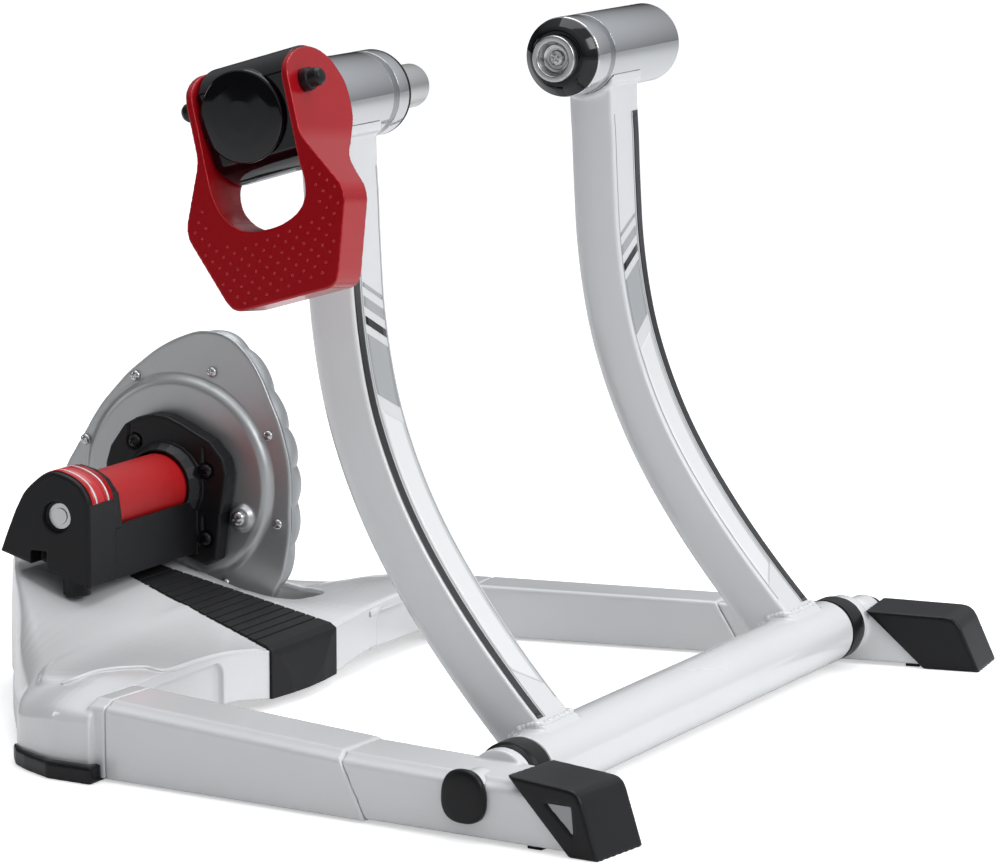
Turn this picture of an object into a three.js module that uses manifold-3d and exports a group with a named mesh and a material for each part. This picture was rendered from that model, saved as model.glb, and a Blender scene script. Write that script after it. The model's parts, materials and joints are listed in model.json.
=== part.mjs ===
// A wheel-on turbo trainer: moulded base with two legs, folding upright frame, two axle clamps with a
// cam lever, and a fluid resistance unit with a roller for the rear tyre.
// Frame: +X forward, +Y towards the resistance casing, +Z up, millimetres, x = 0 at the front of the feet.
import * as THREE from "three";
import { mergeVertices } from "three/addons/utils/BufferGeometryUtils.js";
import Module from "manifold-3d";

const wasm = await Module();
wasm.setup();

// Driving sizes of the whole trainer, and what follows from them
const uprightSpan = 352;
const feetBeyond = 123.5;
const axleHeight = 392.5;
const axleBack = 229.4;
const axleGap = 188;
const wheelReach = 238.6;
const wheelRise = 274.4;
const feetWidth = uprightSpan + 2 * feetBeyond;
const rollerBack = axleBack + wheelReach;
const rollerHeight = axleHeight - wheelRise;

// Clearances and cuts that many pieces share
const gap = 0.3;
const runningGap = 0.15;
const overrun = 4;
const weldPoint = 0.001;

// Legs, in their own frame: back along the leg, in from the outer face, and up
const splayAngle = THREE.MathUtils.degToRad(7.54);
const leg = {
  width: 42.7,
  inset: 2.3,
  clear: 2.5,
  edgeDrop: 6.4,
  edgeWidth: 8,
  frontSeamBack: 156,
  frontSeamLean: 20,
  bodyReach: 5,
  sleeveProud: 0.9,
  sealGap: 0.35,
};
const legHeights = {
  near: { front: 35.6, sleeve: 38.8, rear: 47 },
  far: { front: 32.3, sleeve: 33.8, rear: 34.2 },
};

// Front feet: rubber caps pushed over the ends of the legs
const foot = { width: 47.4, wall: 4, soleFront: 1.5, edge: 1.6, windowDeep: 1.2, round: 7 };
const footShapes = {
  near: { height: 41, frontHeight: 38.2, topBack: 61, topFront: 14.5, soleBack: 20.4 },
  far: { height: 35.6, frontHeight: 34.8, topBack: 77, topFront: 17, soleBack: 38 },
};
const noseBack = (side) => footShapes[side].topFront + foot.wall;
const footWindowShares = [
  [0.6, 0.72],
  [0.3, 0.72],
  [0.27, 0.27],
];
const pad = { length: 9, width: 34, back: 42, height: 2.2 };

// Rear of the base: sections across the body, from the front wall to the tail
const body = { ahead: 122, tail: 72, edgeReach: 7.24, deckDrop: 34.1, wall: 3.2 };
const bodyFront = rollerBack - body.ahead;
const bodyLength = body.ahead + body.tail;
const deckHeight = rollerHeight - body.deckDrop;
const rearSeamBack = bodyFront - leg.bodyReach;
const bodyHalfWidth = feetWidth / 2 - rearSeamBack * Math.sin(splayAngle) + body.edgeReach;
const bodyBackShares = [0, 0.015, 0.134, 0.278, 0.34, 0.392, 0.588, 0.784, 0.893, 0.974];
const bodyWidthShares = [
  [0, 0.153, 0.37, 0.641, 0.809, 0.955, 0.98],
  [0, 0.152, 0.37, 0.644, 0.811, 0.955, 0.98],
  [0, 0.137, 0.37, 0.725, 0.84, 0.947, 0.972],
  [0, 0.126, 0.37, 0.77, 0.84, 0.893, 0.918],
  [0, 0.12, 0.366, 0.71, 0.79, 0.852, 0.874],
  [0, 0.115, 0.363, 0.62, 0.73, 0.785, 0.806],
  [0, 0.095, 0.344, 0.477, 0.546, 0.58, 0.595],
  [0, 0.084, 0.275, 0.336, 0.347, 0.351, 0.355],
  [0, 0.076, 0.172, 0.221, 0.233, 0.236, 0.237],
  [0, 0.046, 0.092, 0.122, 0.13, 0.133, 0.134],
];
const bodyHeightShares = [
  [0.44, 0.44, 0.532, 0.57, 0.55, 0.49, 0.41],
  [0.448, 0.448, 0.54, 0.575, 0.555, 0.49, 0.41],
  [0.535, 0.535, 0.577, 0.605, 0.58, 0.5, 0.405],
  [0.633, 0.633, 0.62, 0.59, 0.51, 0.43, 0.36],
  [0.68, 0.68, 0.65, 0.6, 0.52, 0.43, 0.355],
  [0.705, 0.705, 0.68, 0.62, 0.545, 0.43, 0.355],
  [0.84, 0.84, 0.786, 0.69, 0.56, 0.43, 0.33],
  [0.97, 0.97, 0.964, 0.93, 0.71, 0.48, 0.3],
  [1, 1, 1, 0.98, 0.71, 0.48, 0.3],
  [1, 1, 1, 0.98, 0.71, 0.48, 0.3],
];
const farHeightShares = [
  [0.44, 0.44, 0.489, 0.502, 0.429, 0.372, 0.312],
  [0.448, 0.448, 0.497, 0.506, 0.433, 0.372, 0.312],
  [0.535, 0.531, 0.503, 0.496, 0.434, 0.372, 0.308],
  [0.633, 0.623, 0.511, 0.448, 0.365, 0.313, 0.274],
  [0.68, 0.666, 0.52, 0.438, 0.364, 0.31, 0.27],
  [0.705, 0.691, 0.544, 0.453, 0.382, 0.31, 0.27],
  [0.84, 0.832, 0.7, 0.562, 0.42, 0.318, 0.251],
  [0.97, 0.97, 0.945, 0.837, 0.568, 0.365, 0.228],
  [1, 1, 0.98, 0.882, 0.568, 0.365, 0.228],
  [1, 1, 0.98, 0.882, 0.568, 0.365, 0.228],
];
const bodySoleShares = [
  [0.078, 0.078, 0.167, 0.1, 0.036, 0.036, 0.036],
  [0.078, 0.078, 0.167, 0.1, 0.036, 0.036, 0.036],
  [0.1, 0.1, 0.15, 0.1, 0.036, 0.036, 0.036],
  [0.12, 0.12, 0.12, 0.08, 0.04, 0.036, 0.036],
  [0.12, 0.12, 0.12, 0.08, 0.05, 0.04, 0.04],
  [0.12, 0.12, 0.12, 0.1, 0.08, 0.06, 0.06],
  [0.14, 0.14, 0.14, 0.14, 0.14, 0.14, 0.14],
  [0.17, 0.17, 0.17, 0.17, 0.17, 0.17, 0.17],
  [0.17, 0.17, 0.17, 0.17, 0.17, 0.17, 0.17],
  [0.17, 0.17, 0.17, 0.17, 0.17, 0.17, 0.17],
];
const panel = { deep: 4.2, innerHalf: 99, width: 85, height: 41, farHeight: 36.4, corner: 9 };
const well = { ahead: 77, innerHalf: 51, width: 78, corner: 26 };

// Rear feet: rubber shoes round the rear corners of the body
const shoe = { height: 10.8, band: 8, floor: 2.6, inner: 30, edge: 1, toe: 8.5 };
const shoeBackShares = [0.012, 0.134, 0.25, 0.31, 0.352];
const shoeBandShares = [1.15, 0.95, 0.8, 0.8, 0.6];

// Tread strip that guides the wheel onto the roller
const tread = {
  ahead: 9,
  frontInset: 1.2,
  rearHeightShare: 0.845,
  frontHeightShare: 0.451,
  rearHalf: 19,
  frontHalf: 42,
  thick: 3,
  bulge: 3.6,
  lean: 2.6,
  lipHeight: 6.6,
  lip: 1.4,
  round: 5,
  groovePitch: 6.6,
  grooveWide: 0.9,
  grooveDeep: 0.8,
};
const grooveCount = 15;
const treadRearBack = rollerBack - tread.ahead;
const treadFrontBack = bodyFront + tread.frontInset;
const treadRearHeight = tread.rearHeightShare * deckHeight;
const treadFrontHeight = tread.frontHeightShare * deckHeight;

// Cross tube of the folding frame and its pivots in the legs
const cross = { back: 86.7, height: 25, radius: 20, beyond: 41, wall: 2 };
const crossHalf = uprightSpan / 2 + cross.beyond;
const bush = { flange: 20.1, neck: 18.6, flangeLength: 16.5, spigot: 24, length: 22.4, slit: 1.6 };
const boss = { radius: 18.6, deep: 9 };
const bolt = { radius: 8, headRadius: 12, headThick: 6, inside: 27, socket: 4 };
const plug = { width: 29, height: 30.6, thick: 2.2, back: 88.9, centre: 25.3, corner: 8, farDrop: 4.8, sunk: 1 };

// Uprights: a line of the flat front face by height, and the D section swept along it
const upright = { width: 40, depth: 34, belowAxle: 20.5, wall: 2, bead: 2.4 };
const uprightTop = axleHeight - upright.belowAxle;
const frontLineHeightShares = [
  0.0915, 0.108, 0.161, 0.215, 0.269, 0.323, 0.376, 0.43, 0.484, 0.538, 0.591, 0.645, 0.699, 0.753,
  0.806, 0.86, 0.914, 0.968, 1.022,
];
const frontLineBackShares = [
  0.357, 0.382, 0.469, 0.552, 0.629, 0.699, 0.761, 0.816, 0.862, 0.9, 0.93, 0.952, 0.968, 0.979,
  0.985, 0.99, 0.994, 1, 1.002,
];
const frontLineLead = 20.4;
const frontLineBack = axleBack - frontLineLead;
const sectionWideShares = [0.9, 0.985, 1, 1.02, 1.015, 0.94, 0.72, 0.38, 0];
const sectionDeepShares = [0, 0.03, 0.1, 0.33, 0.55, 0.76, 0.92, 0.985, 1];

// Axle clamps: chromed tubes on top of the uprights
const clamp = {
  radius: 25.05,
  bore: 13.2,
  nearInside: 52,
  nearOutside: 55,
  farInside: 47.6,
  farOutside: 74,
  ring: 1.4,
  band: 7,
  nearBandBack: 12.5,
  farBandBack: 17,
  bandDeep: 0.35,
  neck: 30,
  wall: 2.6,
};
const nearInner = uprightSpan / 2 - clamp.nearInside;
const nearOuter = uprightSpan / 2 + clamp.nearOutside;
const farInner = uprightSpan / 2 - clamp.farInside;
const farOuter = uprightSpan / 2 + clamp.farOutside;
const farCup = {
  radius: 14.5,
  length: 14,
  bowl: 11,
  bowlDeep: 6,
  coneRadius: 24.6,
  coneNose: 19.5,
  coneThick: 8,
  stem: 8,
  tailGap: 9.6,
  guideClear: 0.3,
  guideLength: 12,
};
const cupScrew = { radius: 5.4, thick: 3, socketWide: 1.4, socketDeep: 1.2 };
const endCap = { radius: 24.4, thick: 3.2, plugDeep: 10 };

// Thrust plunger with its notched tip
const plunger = {
  clear: 0.3,
  tipChamfer: 3.4,
  collarLength: 54,
  groove: 1,
  grooveWide: 3,
  grooveBack: 30,
  cone: 6.5,
  coneDeep: 6,
  notchWide: 4,
  notchDeep: 3.4,
  rod: 8,
};

// Cam housing across the outer end of the near clamp, and the lever that turns the cam
const housing = {
  tiltAngle: THREE.MathUtils.degToRad(16.4),
  radius: 33.5,
  halfLength: 28.8,
  beyondTube: 19,
  drop: 13.3,
  offset: 3,
  barrelProud: 0.55,
  faceBeyond: 10.7,
  edge: 1.5,
};
const disc = { proud: 0.6, thick: 5, dome: 1.6, rim: 1 };
const pin = {
  rise: 10.5,
  beyondTube: 34.3,
  radius: 4,
  bossRadius: 6.6,
  bossThick: 4.6,
  tipRadius: 5.3,
  tipLength: 9.6,
};
const pinOut = nearOuter + pin.beyondTube;
const faceOut = pinOut + housing.faceBeyond;
const barrelRadius = clamp.radius + housing.barrelProud;
const cam = { radius: 7.2, offCentre: 2, halfWidth: 7.5, slotRadius: 12.6, outerWall: 1.6 };
const camLeadAngle = THREE.MathUtils.degToRad(40);
const lever = {
  hangAngle: THREE.MathUtils.degToRad(6),
  halfWidth: 49.3,
  drop: 116.8,
  face: 17,
  back: 47.6,
  ear: 4.1,
  slotDrop: 76.5,
  edge: 1.2,
};
const leverWideShares = [
  [1.05, 0.53],
  [1.07, 0.56],
  [1.07, 0.61],
  [0.8, 0.94],
  [0.75, 0.98],
  [0.66, 1],
  [-0.54, 1],
  [-0.63, 0.98],
  [-0.69, 0.94],
  [-1, 0.61],
  [-1, 0.56],
  [-0.98, 0.53],
];
const neckDropShare = 0.26;
const leverSideShares = [
  [0.357, 1.01],
  [0.357, 0],
  [0.326, -0.068],
  [0.277, -0.092],
  [0.04, -0.148],
  [-0.204, -0.169],
  [-0.46, -0.158],
  [-0.706, -0.116],
  [-0.861, -0.056],
  [-0.968, 0.008],
  [-1, 0.1],
  [-0.97, 0.186],
  [-0.86, 0.25],
  [-0.76, 0.295],
  [-0.7, 0.335],
  [-0.64, 0.37],
  [-0.4, 0.39],
  [-0.31, 0.42],
  [-0.2, 0.52],
  [-0.19, 0.62],
  [-0.2, 1.01],
];
const leverSlotShares = [
  [-1, -0.4],
  [1, -0.4],
  [1, 0.58],
  [1.03, 0.72],
  [0.97, 0.84],
  [0.78, 0.93],
  [0.45, 0.985],
  [0.1, 1],
  [-0.3, 0.985],
  [-0.62, 0.93],
  [-0.84, 0.83],
  [-0.95, 0.72],
  [-1, 0.58],
];

// Roller and its shaft
const roller = { radius: 21, nearEnd: 58, farEnd: 40, edge: 1.2, shaft: 5, shaftShort: 4.1 };
const bearing = { outer: 8, thick: 5, recess: 10, recessDeep: 4.6 };

// Roller holder: the black body that carries the roller and the resistance unit
const holder = {
  nearFace: 90.7,
  hoodTopEnd: 57,
  hoodLipEnd: 50,
  wall: 3,
  lipDrop: 8.5,
  flangeFace: 42,
  rollerGap: 1.5,
  boreWall: 12,
  soft: 1.6,
  collarRadius: 27.5,
  collarThick: 3.5,
};
const cheekShares = [
  [0.818, -1.54],
  [-1.457, -0.868],
  [-1.318, -0.507],
  [-1.068, 0.075],
  [-0.86, 0.46],
  [-0.653, 0.686],
  [-0.357, 0.91],
  [-0.06, 1],
  [0.307, 0.918],
  [0.607, 0.739],
  [0.79, 0.45],
  [0.818, 0.14],
];
const flangeShares = [
  [1.02, -1.82],
  [1.3, -1.66],
  [1.44, -0.7],
  [1.6, 0.3],
  [1.5, 0.68],
  [1.16, 1.06],
  [0.407, 1.42],
  [0.05, 1.56],
  [-0.332, 1.59],
  [-0.75, 1.48],
  [-1.071, 1.3],
  [-1.443, 0.786],
  [-1.57, 0.386],
  [-1.6, -0.8],
  [-1.43, -0.95],
];
const holderSide = 28;
const notch = { back: 13, width: 11.6, height: 22 };
const peg = { radius: 8.6, front: 8.8, drop: 49, near: 81.6 };
const mountPad = { half: 26, ahead: 1.8, rear: 36, sink: 0.3 };
const flangeScrewShares = [
  [-0.796, 0.932],
  [1.061, 0.375],
  [1.032, -1.186],
];
const flangeScrew = { radius: 4.6, thick: 3.2, socketWide: 1.1, socketDeep: 1.3, shank: 2.2, shankLength: 8 };
const reliefSlot = { width: 1.6, deep: 1.2, length: 15 };
const label = { wide: 24, thick: 0.5 };

// Resistance unit: alloy front plate, gasket, finned casing, impeller and filler screw
const unit = {
  face: 60.3,
  plateThick: 2.6,
  gasketThick: 1.2,
  radius: 100,
  ringRadius: 67.8,
  ringRise: 4.6,
  ringBevel: 4.5,
  boreRadius: 11,
  depth: 41,
  wall: 3,
  finRise: 2.8,
  screwRadius: 72.3,
};
const plateShares = [
  0.808, 0.811, 0.818, 0.837, 0.865, 0.92, 0.98, 1.013, 0.985, 0.918, 0.855, 0.8, 0.765, 0.739, 0.733,
  0.735, 0.75, 0.793, 0.857, 0.9, 0.918, 0.9, 0.84, 0.79, 0.76, 0.765, 0.78, 0.825, 0.88, 0.95, 0.99,
  0.98, 0.945, 0.89, 0.85, 0.815,
];
const rimScrewAngleShares = [0.322, 0.197, 0.075, 0.95, 0.825, 0.7, 0.578, 0.453];
const rimScrewOutShares = [1, 1.04, 1.01, 1.04, 1, 1, 1, 1];
const casingDepthShares = [0, 0.12, 0.3, 0.55, 0.78, 0.93, 1];
const casingSizeShares = [0.985, 0.99, 0.965, 0.89, 0.77, 0.63, 0.5];
const casingWaveShares = [0, 0.6, 1, 1, 0.9, 0.5, 0];
const rimScrew = { radius: 3.7, thick: 2.6, socketWide: 1, socketDeep: 1, shank: 1.8, shankLength: 9 };
const filler = {
  reach: 52,
  angle: THREE.MathUtils.degToRad(-22.6),
  radius: 5.2,
  thick: 4,
  bossRadius: 8.5,
  bossRise: 4,
  socketWide: 1.4,
  socketDeep: 1.6,
};
const impeller = { radius: 52, hub: 12, bladeThick: 3, bladeDeep: 16, clear: 6, shaftProud: 3 };
const bladeCount = 9;
const finCount = 20;
const fineSteps = 40;
const roundSteps = 24;
const innerSteps = 18;
const smallSteps = 10;

// Finishes of the plain model
const finishes = {
  white: { color: 0xeceeee, roughness: 0.25, metalness: 0 },
  chrome: { color: 0xd8dadc, roughness: 0.12, metalness: 1 },
  black: { color: 0x17181a, roughness: 0.45, metalness: 0 },
  gloss: { color: 0x0b0b0d, roughness: 0.12, metalness: 0 },
  rubber: { color: 0x1c1c1e, roughness: 0.85, metalness: 0 },
  red: { color: 0xb0161c, roughness: 0.25, metalness: 0.2 },
  rollerRed: { color: 0xc3211f, roughness: 0.5, metalness: 0 },
  alloy: { color: 0xb9bcbe, roughness: 0.4, metalness: 1 },
  steel: { color: 0x9a9da0, roughness: 0.3, metalness: 1 },
};

const trainer = new THREE.Group();
trainer.name = "turbo_trainer";

// Turns a three.js geometry into one closed solid facing outwards.
function solidOf(geometry) {
  const bare = new THREE.BufferGeometry();
  bare.setAttribute("position", geometry.getAttribute("position"));
  if (geometry.index) bare.setIndex(geometry.index);
  const merged = mergeVertices(bare, weldPoint);
  const corners = [];
  for (let i = 0; i < merged.index.count; i += 3) {
    const face = [0, 1, 2].map((k) => merged.index.getX(i + k));
    if (new Set(face).size === 3) corners.push(...face);
  }
  const build = (list) =>
    new wasm.Manifold(
      new wasm.Mesh({
        numProp: 3,
        vertProperties: merged.attributes.position.array,
        triVerts: new Uint32Array(list),
      }),
    );
  const made = build(corners);
  if (made.volume() > 0) return made;
  for (let i = 0; i < corners.length; i += 3)
    [corners[i + 1], corners[i + 2]] = [corners[i + 2], corners[i + 1]];
  return build(corners);
}

// Adds a solid to the trainer as a named mesh with its own finish.
function place(name, solid, finish) {
  const out = solid.getMesh();
  const points = new Float32Array(out.numProp === 3 ? out.vertProperties : solid.numVert() * 3);
  const geometry = new THREE.BufferGeometry()
    .setAttribute("position", new THREE.BufferAttribute(points, 3))
    .setIndex(new THREE.BufferAttribute(new Uint32Array(out.triVerts), 1));
  geometry.computeVertexNormals();
  const mesh = new THREE.Mesh(geometry, new THREE.MeshStandardMaterial(finishes[finish]));
  mesh.name = name;
  trainer.add(mesh);
}

// Joins rings of equal count into a skin with flat caps.
function loft(rings) {
  const count = rings[0].length;
  const points = rings.flat();
  const faces = [];
  for (let i = 0; i + 1 < rings.length; i++)
    for (let j = 0; j < count; j++) {
      const k = (j + 1) % count;
      const a = i * count + j;
      const b = i * count + k;
      faces.push(a, b, b + count, a, b + count, a + count);
    }
  const last = (rings.length - 1) * count;
  capOf(rings[0]).forEach(([a, b, c]) => faces.push(c, b, a));
  capOf(rings[rings.length - 1]).forEach(([a, b, c]) => faces.push(last + a, last + b, last + c));
  const geometry = new THREE.BufferGeometry().setFromPoints(points);
  geometry.setIndex(faces);
  return solidOf(geometry);
}

// Triangles over a nearly flat ring, wound as the ring runs.
function capOf(ring) {
  const normal = new THREE.Vector3();
  ring.forEach((p, i) => normal.add(new THREE.Vector3().crossVectors(p, ring[(i + 1) % ring.length])));
  const side = new THREE.Vector3(0, 1, 0);
  if (Math.abs(side.dot(normal)) > Math.abs(normal.x) + Math.abs(normal.z)) side.set(1, 0, 0);
  const across = new THREE.Vector3().crossVectors(side, normal).normalize();
  const up = new THREE.Vector3().crossVectors(normal, across).normalize();
  const flat = ring.map((p) => new THREE.Vector2(p.dot(across), p.dot(up)));
  return THREE.ShapeUtils.triangulateShape(flat, []);
}

// A turned solid about the Y axis through the given centre, from [radius, y] points.
function turned(profile, back, height, steps = roundSteps) {
  const points = profile.map(([r, y]) => new THREE.Vector2(r, y));
  const geometry = new THREE.LatheGeometry(points, steps);
  geometry.translate(-back, 0, height);
  return solidOf(geometry);
}

// A plain round bar about the Y axis.
function bar(radius, from, to, back, height, steps = roundSteps) {
  return turned([[0, from], [radius, from], [radius, to], [0, to]], back, height, steps);
}

// A plate whose outline lies in X and Z, from one Y to another, with softened edges.
function plate(outline, from, to, soft = 0) {
  const shape = new THREE.Shape(outline.map(([x, z]) => new THREE.Vector2(x, z)));
  const geometry = extruded(shape, Math.abs(to - from), soft);
  geometry.rotateX(Math.PI / 2);
  geometry.translate(0, Math.max(from, to), 0);
  return solidOf(geometry);
}

// A plate whose outline lies in X and Y, from one height to another.
function slab(outline, from, to, soft = 0) {
  const shape = new THREE.Shape(outline.map(([x, y]) => new THREE.Vector2(x, y)));
  const geometry = extruded(shape, to - from, soft);
  geometry.translate(0, 0, from);
  return solidOf(geometry);
}

function extruded(shape, depth, soft) {
  if (!soft) return new THREE.ExtrudeGeometry(shape, { depth, bevelEnabled: false });
  const geometry = new THREE.ExtrudeGeometry(shape, {
    depth: depth - 2 * soft,
    bevelThickness: soft,
    bevelSize: soft,
    bevelOffset: -soft,
    bevelSegments: 2,
  });
  geometry.translate(0, 0, soft);
  return geometry;
}

function box(x0, x1, y0, y1, z0, z1) {
  return slab([[x0, y0], [x1, y0], [x1, y1], [x0, y1]], z0, z1);
}

// Points of a rectangle with rounded corners.
function rounded(width, height, corner, cx = 0, cy = 0) {
  const points = [];
  const turns = 5;
  for (let q = 0; q < 4; q++)
    for (let i = 0; i <= turns; i++) {
      const angle = (q + i / turns) * Math.PI / 2;
      const sx = q === 0 || q === 3 ? 1 : -1;
      const sy = q < 2 ? 1 : -1;
      points.push([
        cx + sx * (width / 2 - corner) + corner * Math.cos(angle),
        cy + sy * (height / 2 - corner) + corner * Math.sin(angle),
      ]);
    }
  return points;
}

const scaled = (shares, x, y) => shares.map(([a, b]) => [a * x, b * y]);
const moved = (outline, dx, dy) => outline.map(([x, y]) => [x + dx, y + dy]);
const flipped = (solid) => solid.mirror([0, 1, 0]);
const turnedBy = (solid, matrix) => solid.transform([...matrix.elements]);
const both = (make) => [["near", make("near")], ["far", flipped(make("far"))]];

// Point of the near leg: back along it, in from its outer plane, and up.
function legPoint(back, inward, height) {
  const c = Math.cos(splayAngle);
  const s = Math.sin(splayAngle);
  return new THREE.Vector3(-back * c + inward * s, -feetWidth / 2 + back * s + inward * c, height);
}

// Matrix that takes [back, inward, up] to the near leg's place.
function legFrame() {
  const c = Math.cos(splayAngle);
  const s = Math.sin(splayAngle);
  return new THREE.Matrix4().set(-c, s, 0, 0, s, c, 0, -feetWidth / 2, 0, 0, 1, 0, 0, 0, 0, 1);
}

// Height of a leg's top at a distance back; the far leg lies lower.
function legTop(back, side) {
  const heights = legHeights[side];
  const front = [noseBack(side), heights.front];
  const seam = [leg.frontSeamBack, heights.sleeve];
  const rear = [rearSeamBack, heights.rear];
  const [a, b] = back < seam[0] ? [front, seam] : [seam, rear];
  return a[1] + ((back - a[0]) / (b[0] - a[0])) * (b[1] - a[1]);
}

// Ring of the leg's section; lean moves the top back more than the sole.
function legRing(side, back, lean, grow = 0) {
  const top = legTop(back, side) + grow;
  const low = leg.clear - grow;
  const outer = leg.inset - grow;
  const inner = leg.inset + leg.width + grow;
  const section = [
    [outer, low],
    [inner, low],
    [inner, top - leg.edgeDrop / 4],
    [inner - leg.edgeDrop / 4, top],
    [outer + leg.edgeWidth, top - leg.edgeDrop / 8],
    [outer + leg.edgeWidth * 0.62, top - leg.edgeDrop * 0.5],
    [outer + leg.edgeWidth * 0.16, top - leg.edgeDrop * 0.7],
    [outer, top - leg.edgeDrop],
  ];
  return section.map(([w, z]) => legPoint(back + (lean * z) / legHeights[side].sleeve, w, z));
}

const legFlats = (side, grow, from, to, lean) =>
  loft([from, (from + to) / 2, to].map((back) => legRing(side, back, back === to ? lean : 0, grow)));

const crossAxis = [cross.back, cross.height];
const bossEnd = crossHalf + bush.length + gap;

// Front part of a leg, with the pivot boss and its bores.
function frontLeg(side) {
  let made = legFlats(side, 0, noseBack(side), leg.frontSeamBack, leg.frontSeamLean);
  made = made.add(bar(boss.radius, -bossEnd - boss.deep, -bossEnd, ...crossAxis));
  made = made.subtract(bar(bolt.radius + runningGap, -feetWidth / 2, -bossEnd + overrun, ...crossAxis));
  return made.subtract(boltPocket());
}

const plugFaceOut = legPoint(plug.back, leg.inset, 0).y;
const boltHeadFrom = plugFaceOut + plug.sunk + bolt.headThick + 2 * gap;
function boltPocket() {
  return bar(bolt.headRadius + gap, plugFaceOut - overrun * 2, boltHeadFrom + gap, ...crossAxis);
}

// Sleeve between the two seams, a little proud of the leg.
function sleeveLeg(side) {
  const rings = [];
  const steps = 4;
  const from = leg.frontSeamBack + leg.sealGap;
  const to = rearSeamBack - leg.sealGap;
  for (let i = 0; i <= steps; i++) {
    const lean = leg.frontSeamLean * (1 - i / steps);
    rings.push(legRing(side, from + ((to - from) * i) / steps, lean, leg.sleeveProud));
  }
  return loft(rings);
}

// Matrix that stands a side outline, drawn as back and up, on the leg's outer plane.
const sideStand = () => new THREE.Matrix4().set(1, 0, 0, 0, 0, 0, 1, 0, 0, 1, 0, 0, 0, 0, 0, 1);

// A block whose side outline is given as back and up, from one place inward to another.
function legBlock(outline, from, thick, soft = 0) {
  const shape = new THREE.Shape(outline.map(([l, z]) => new THREE.Vector2(l, z)));
  const geometry = extruded(shape, thick, soft);
  geometry.applyMatrix4(sideStand());
  geometry.translate(0, from, 0);
  return turnedBy(solidOf(geometry), legFrame());
}

// Rubber foot over the front of a leg, with its leaning front and rounded brow.
function frontFoot(side) {
  const f = footShapes[side];
  const brow = (t) => {
    const lean = (f.topFront - foot.soleFront) / f.frontHeight;
    const low = [f.topFront - lean * foot.round, f.frontHeight - foot.round];
    const high = [f.topFront + foot.round, f.frontHeight];
    const peak = [f.topFront, f.frontHeight];
    return [0, 1].map((k) => low[k] * (1 - t) ** 2 + 2 * peak[k] * t * (1 - t) + high[k] * t ** 2);
  };
  const outline = [[foot.soleFront, 0], brow(0), brow(1 / 3), brow(2 / 3), brow(1), [f.topBack, f.height], [f.soleBack, 0]];
  const room = legFlats(side, gap, noseBack(side) - gap, f.topBack + overrun * 4, 0);
  const window = scaled(footWindowShares, f.topBack, f.height);
  return legBlock(outline, 0, foot.width, foot.edge)
    .subtract(room)
    .subtract(legBlock(window, -overrun, foot.windowDeep + overrun))
    .subtract(legBlock(coverOutline(side, gap), -overrun, leg.inset + overrun))
    .subtract(bar(boss.radius + gap, -bossEnd - boss.deep, -bossEnd + overrun, ...crossAxis));
}

// Small pad under the leg behind the front foot.
function underPad() {
  const middle = leg.inset + leg.width / 2;
  const made = box(pad.back, pad.back + pad.length, middle - pad.width / 2, middle + pad.width / 2, 0, pad.height);
  return turnedBy(made, legFrame());
}

// Cover over the pivot bolt in the outer face of a leg.
function coverOutline(side, grow) {
  const centre = plug.centre - (side === "far" ? plug.farDrop : 0);
  return rounded(plug.width + 2 * grow, plug.height + 2 * grow, plug.corner + grow, plug.back, centre);
}

const legPlug = (side) =>
  legBlock(coverOutline(side, 0), leg.inset - plug.thick - gap, plug.thick, plug.thick / 3);

// Ring of the base body at one station, lower on its far side; shrink thins it for the hollow underneath.
function bodyRing(i, shrink = 0) {
  const x = -(bodyFront + bodyLength * bodyBackShares[i]);
  const wide = bodyWidthShares[i].map((s) => Math.max(s * bodyHalfWidth - (s > 0 ? shrink : 0), 0));
  const high = bodyHeightShares[i].map((s) => s * deckHeight - shrink);
  const farHigh = farHeightShares[i].map((s) => s * deckHeight - shrink);
  const low = bodySoleShares[i].map((s) => (shrink > 0 ? -overrun * 2 : s * deckHeight));
  const last = wide.length - 1;
  const near = wide.map((y, k) => [-y, high[k]]).concat(wide.map((y, k) => [-y, low[k]]).reverse());
  const far = wide.map((y, k) => [y, farHigh[k]]).concat(wide.map((y, k) => [y, low[k]]).reverse());
  const ring = far.slice(0, -1).concat([[0, low[0]]], near.slice(1, 2 * last + 1).reverse());
  return ring.map(([y, z]) => new THREE.Vector3(x, y, z));
}

function bodySolid(shrink = 0) {
  const count = bodyBackShares.length;
  const rings = bodyBackShares.map((_, i) => bodyRing(i, shrink));
  if (shrink) {
    rings[0].forEach((p) => (p.x -= shrink * 1.6));
    rings[1].forEach((p) => (p.x -= shrink * 1.2));
    rings[count - 1].forEach((p) => (p.x += shrink * 2));
  }
  return loft(rings);
}

// Outline of the tread strip from the side, with its front face.
function treadOutline(thick, extra = 0) {
  const t = tread;
  const front = -treadFrontBack + t.bulge;
  return [
    [-treadRearBack - extra, treadRearHeight + extra],
    [front - t.round, treadFrontHeight + 1.2 * t.lip + extra],
    [front - t.round / 4, treadFrontHeight - t.lip + extra],
    [front + extra, treadFrontHeight - t.round + extra],
    [front + t.lean + extra, t.lipHeight - extra],
    [front - thick - t.bulge, t.lipHeight - extra],
    [front - thick - t.bulge, treadFrontHeight - thick],
    [-treadRearBack - extra, treadRearHeight - thick],
  ];
}

// Plan of the tread strip: a long wedge with a bulged front.
function treadPlan(extra = 0) {
  const t = tread;
  const front = -treadFrontBack + t.lean;
  return [
    [-treadRearBack - extra, -t.rearHalf - extra],
    [front + extra, -t.frontHalf - extra],
    [front + t.bulge * 0.7 + extra, -t.frontHalf / 2],
    [front + t.bulge + extra, 0],
    [front + t.bulge * 0.7 + extra, t.frontHalf / 2],
    [front + extra, t.frontHalf + extra],
    [-treadRearBack - extra, t.rearHalf + extra],
  ];
}

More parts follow.
